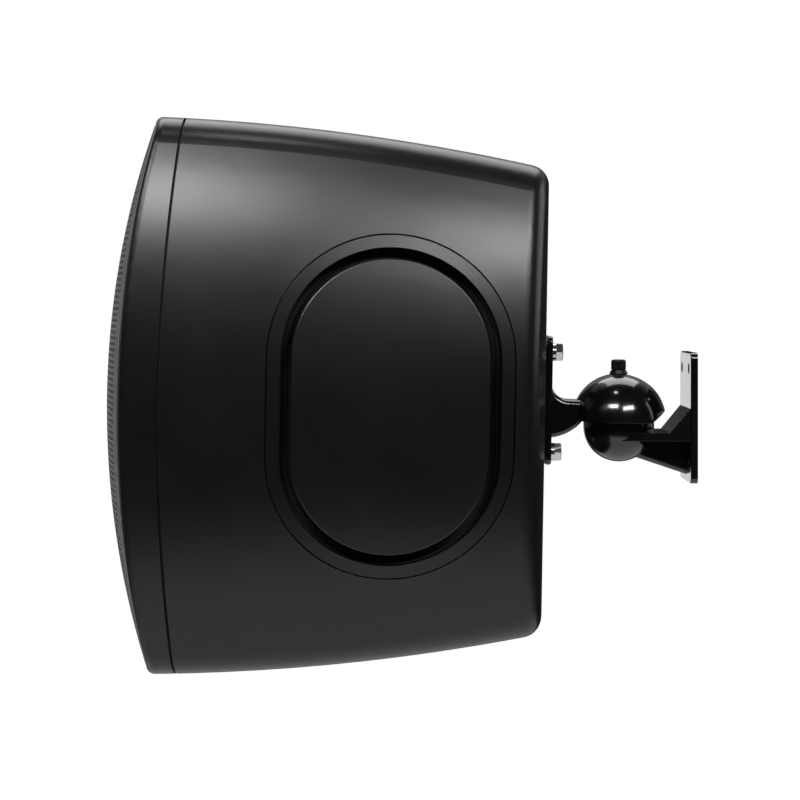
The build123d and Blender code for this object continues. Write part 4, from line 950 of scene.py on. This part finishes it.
@dataclass
class Studio:
    """Camera, lights, pale floor and white background.

    Attributes:
        eye: place of the camera, which looks level along +Y.
        span: width of the picture at the speaker's middle plane.
        shift: how far the picture is shifted down, as a share of its width.
        floor_drop: height of the floor under the wall plate's middle.
        floor_r: radius of the floor.
        floor_fade: shares of that radius where the floor begins to fade and where it is gone.
        target: what the lights look at.
        lights: the soft lights.
    """

    eye: Vector = field(default_factory=lambda: Vector((-0.1754, -1.2, 0.0727)))
    span: float = 0.48
    shift: float = -0.13125
    floor_drop: float = 0.62
    floor_r: float = 1.25
    floor_fade: Span = (0.6, 0.98)
    target: Vector = field(default_factory=lambda: Vector((-0.15, 0.0, 0.0)))
    lights: tuple[Softbox, ...] = (
        Softbox("softbox_left", -13.8, 38.6, 1.7, 0.5, 0.24, 9.3),
        Softbox("softbox_right", 25.0, 32.2, 1.7, 0.75, 0.26, 11.4),
        Softbox("rim_strip", -48.0, 39.5, 1.5, 1.1, 0.2, 7.5),
        Softbox("top_lamp", -12.0, 76.0, 1.5, 0.15, 0.15, 0.9),
        Softbox("back_light", 180.0, 60.0, 1.6, 1.8, 1.0, 16.0),
        Softbox("side_fill", 100.0, 18.0, 2.0, 1.3, 1.1, 7.0),
    )

    def camera(self) -> None:
        """Sets the camera at the photograph's view."""
        lens = bpy.data.cameras.new("camera")
        lens.sensor_width = SENSOR_MM
        lens.lens = lens.sensor_width * -self.eye.y / self.span
        lens.shift_y = self.shift
        lens.clip_end = CLIP_END
        holder = bpy.data.objects.new("camera", lens)
        holder.location = self.eye
        holder.rotation_euler = (math.pi / 2, 0.0, 0.0)
        bpy.context.scene.collection.objects.link(holder)
        bpy.context.scene.camera = holder

    def world(self) -> None:
        """White for the camera; else a dim room with a white sweep behind and a white card at the left."""
        sky = bpy.data.worlds.new("studio")
        sky.use_nodes = True
        bench = NodeBench(sky.node_tree)
        way = bench.node("ShaderNodeTexCoord", {}, {}).outputs["Generated"]
        side, behind, high = (bench.value("ShaderNodeSeparateXYZ", {}, {0: way}, axis) for axis in "XYZ")
        far = behind.step(0.15, 0.8)
        upper = high.step(0.16, 0.4) * UPPER_LEVEL
        sweep = high.band((-0.24, -0.12), (0.03, 0.12)) * (1 - side.step(0.0, 0.14))
        card_side = (1 - side.step(-0.5, -0.15)) * behind.step(-0.4, 0.1)
        card = card_side * high.band((-0.45, -0.2), (0.2, 0.45))
        room = far * (sweep.highest(card * CARD_ON_SWEEP_LEVEL) + upper) + ROOM_LEVEL
        seen = bench.value("ShaderNodeLightPath", {}, {}, "Is Camera Ray")
        level = room.highest(card * CARD_LEVEL).highest(seen)
        ground = bench.node("ShaderNodeBackground", {}, {"Color": (1.0, 1.0, 1.0, 1.0), "Strength": level})
        bench.node("ShaderNodeOutputWorld", {}, {"Surface": ground.outputs[0]})
        bpy.context.scene.world = sky

    def floor(self) -> None:
        """Pale round floor under the speaker, a grid of rings and rays that fades out at its edge."""
        ring = np.linspace(0.0, self.floor_r, FLOOR_RINGS)
        ray = np.linspace(0, 2 * math.pi, FLOOR_RAYS, endpoint=False)
        x = self.target.x + ring[:, None] * np.cos(ray)
        y = ring[:, None] * np.sin(ray)
        points = np.stack([x, y, np.full_like(x, -self.floor_drop)], axis=-1).reshape(-1, 3)
        faces = grid_faces(len(ring), len(ray))
        mesh = bpy.data.meshes.new("floor")
        mesh.from_pydata(points.tolist(), [], faces.tolist())
        paint = bpy.data.materials.new("floor_pale")
        paint.use_nodes = True
        bench = NodeBench(paint.node_tree)
        across = bench.axis("X") - self.target.x
        along = bench.axis("Y")
        fade_start, fade_end = (self.floor_r * share for share in self.floor_fade)
        far = ((across * across + along * along) ** 0.5).step(fade_start, fade_end)
        speck = bench.noise(FLOOR_SPECK)
        matte = bench.node("ShaderNodeBsdfDiffuse", {}, {"Color": bench.blend(speck, *FLOOR_COLOURS)})
        clear = bench.node("ShaderNodeBsdfTransparent", {}, {})
        mixed = bench.node("ShaderNodeMixShader", {}, {0: far, 1: matte.outputs[0], 2: clear.outputs[0]})
        bench.node("ShaderNodeOutputMaterial", {}, {"Surface": mixed.outputs[0]})
        mesh.materials.append(paint)
        holder = bpy.data.objects.new("floor", mesh)
        bpy.context.scene.collection.objects.link(holder)

    def build(self) -> None:
        """Sets up the whole studio."""
        bpy.context.scene.view_settings.view_transform = "Standard"
        self.camera()
        self.world()
        self.floor()
        for light in self.lights:
            light.hang(self.target)
        log.info("studio with %d lights", len(self.lights))


def corners(box: Sequence[Vector]) -> list[list[float]]:
    """A box's two corners as plain lists."""
    return [list(map(float, corner)) for corner in box]


def main() -> None:
    """Builds the studio and every sub-assembly."""
    logging.basicConfig(level=logging.INFO, format="%(name)s: %(message)s")
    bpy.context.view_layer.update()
    Studio().build()
    head = Head()
    for assembly in (WALL_MOUNT, HOUSING, DRIVERS, TERMINALS):
        assembly.dress()
    ClampScrew().build(head)
    FrontGrille().build(head)


if __name__ == "__main__":
    main()
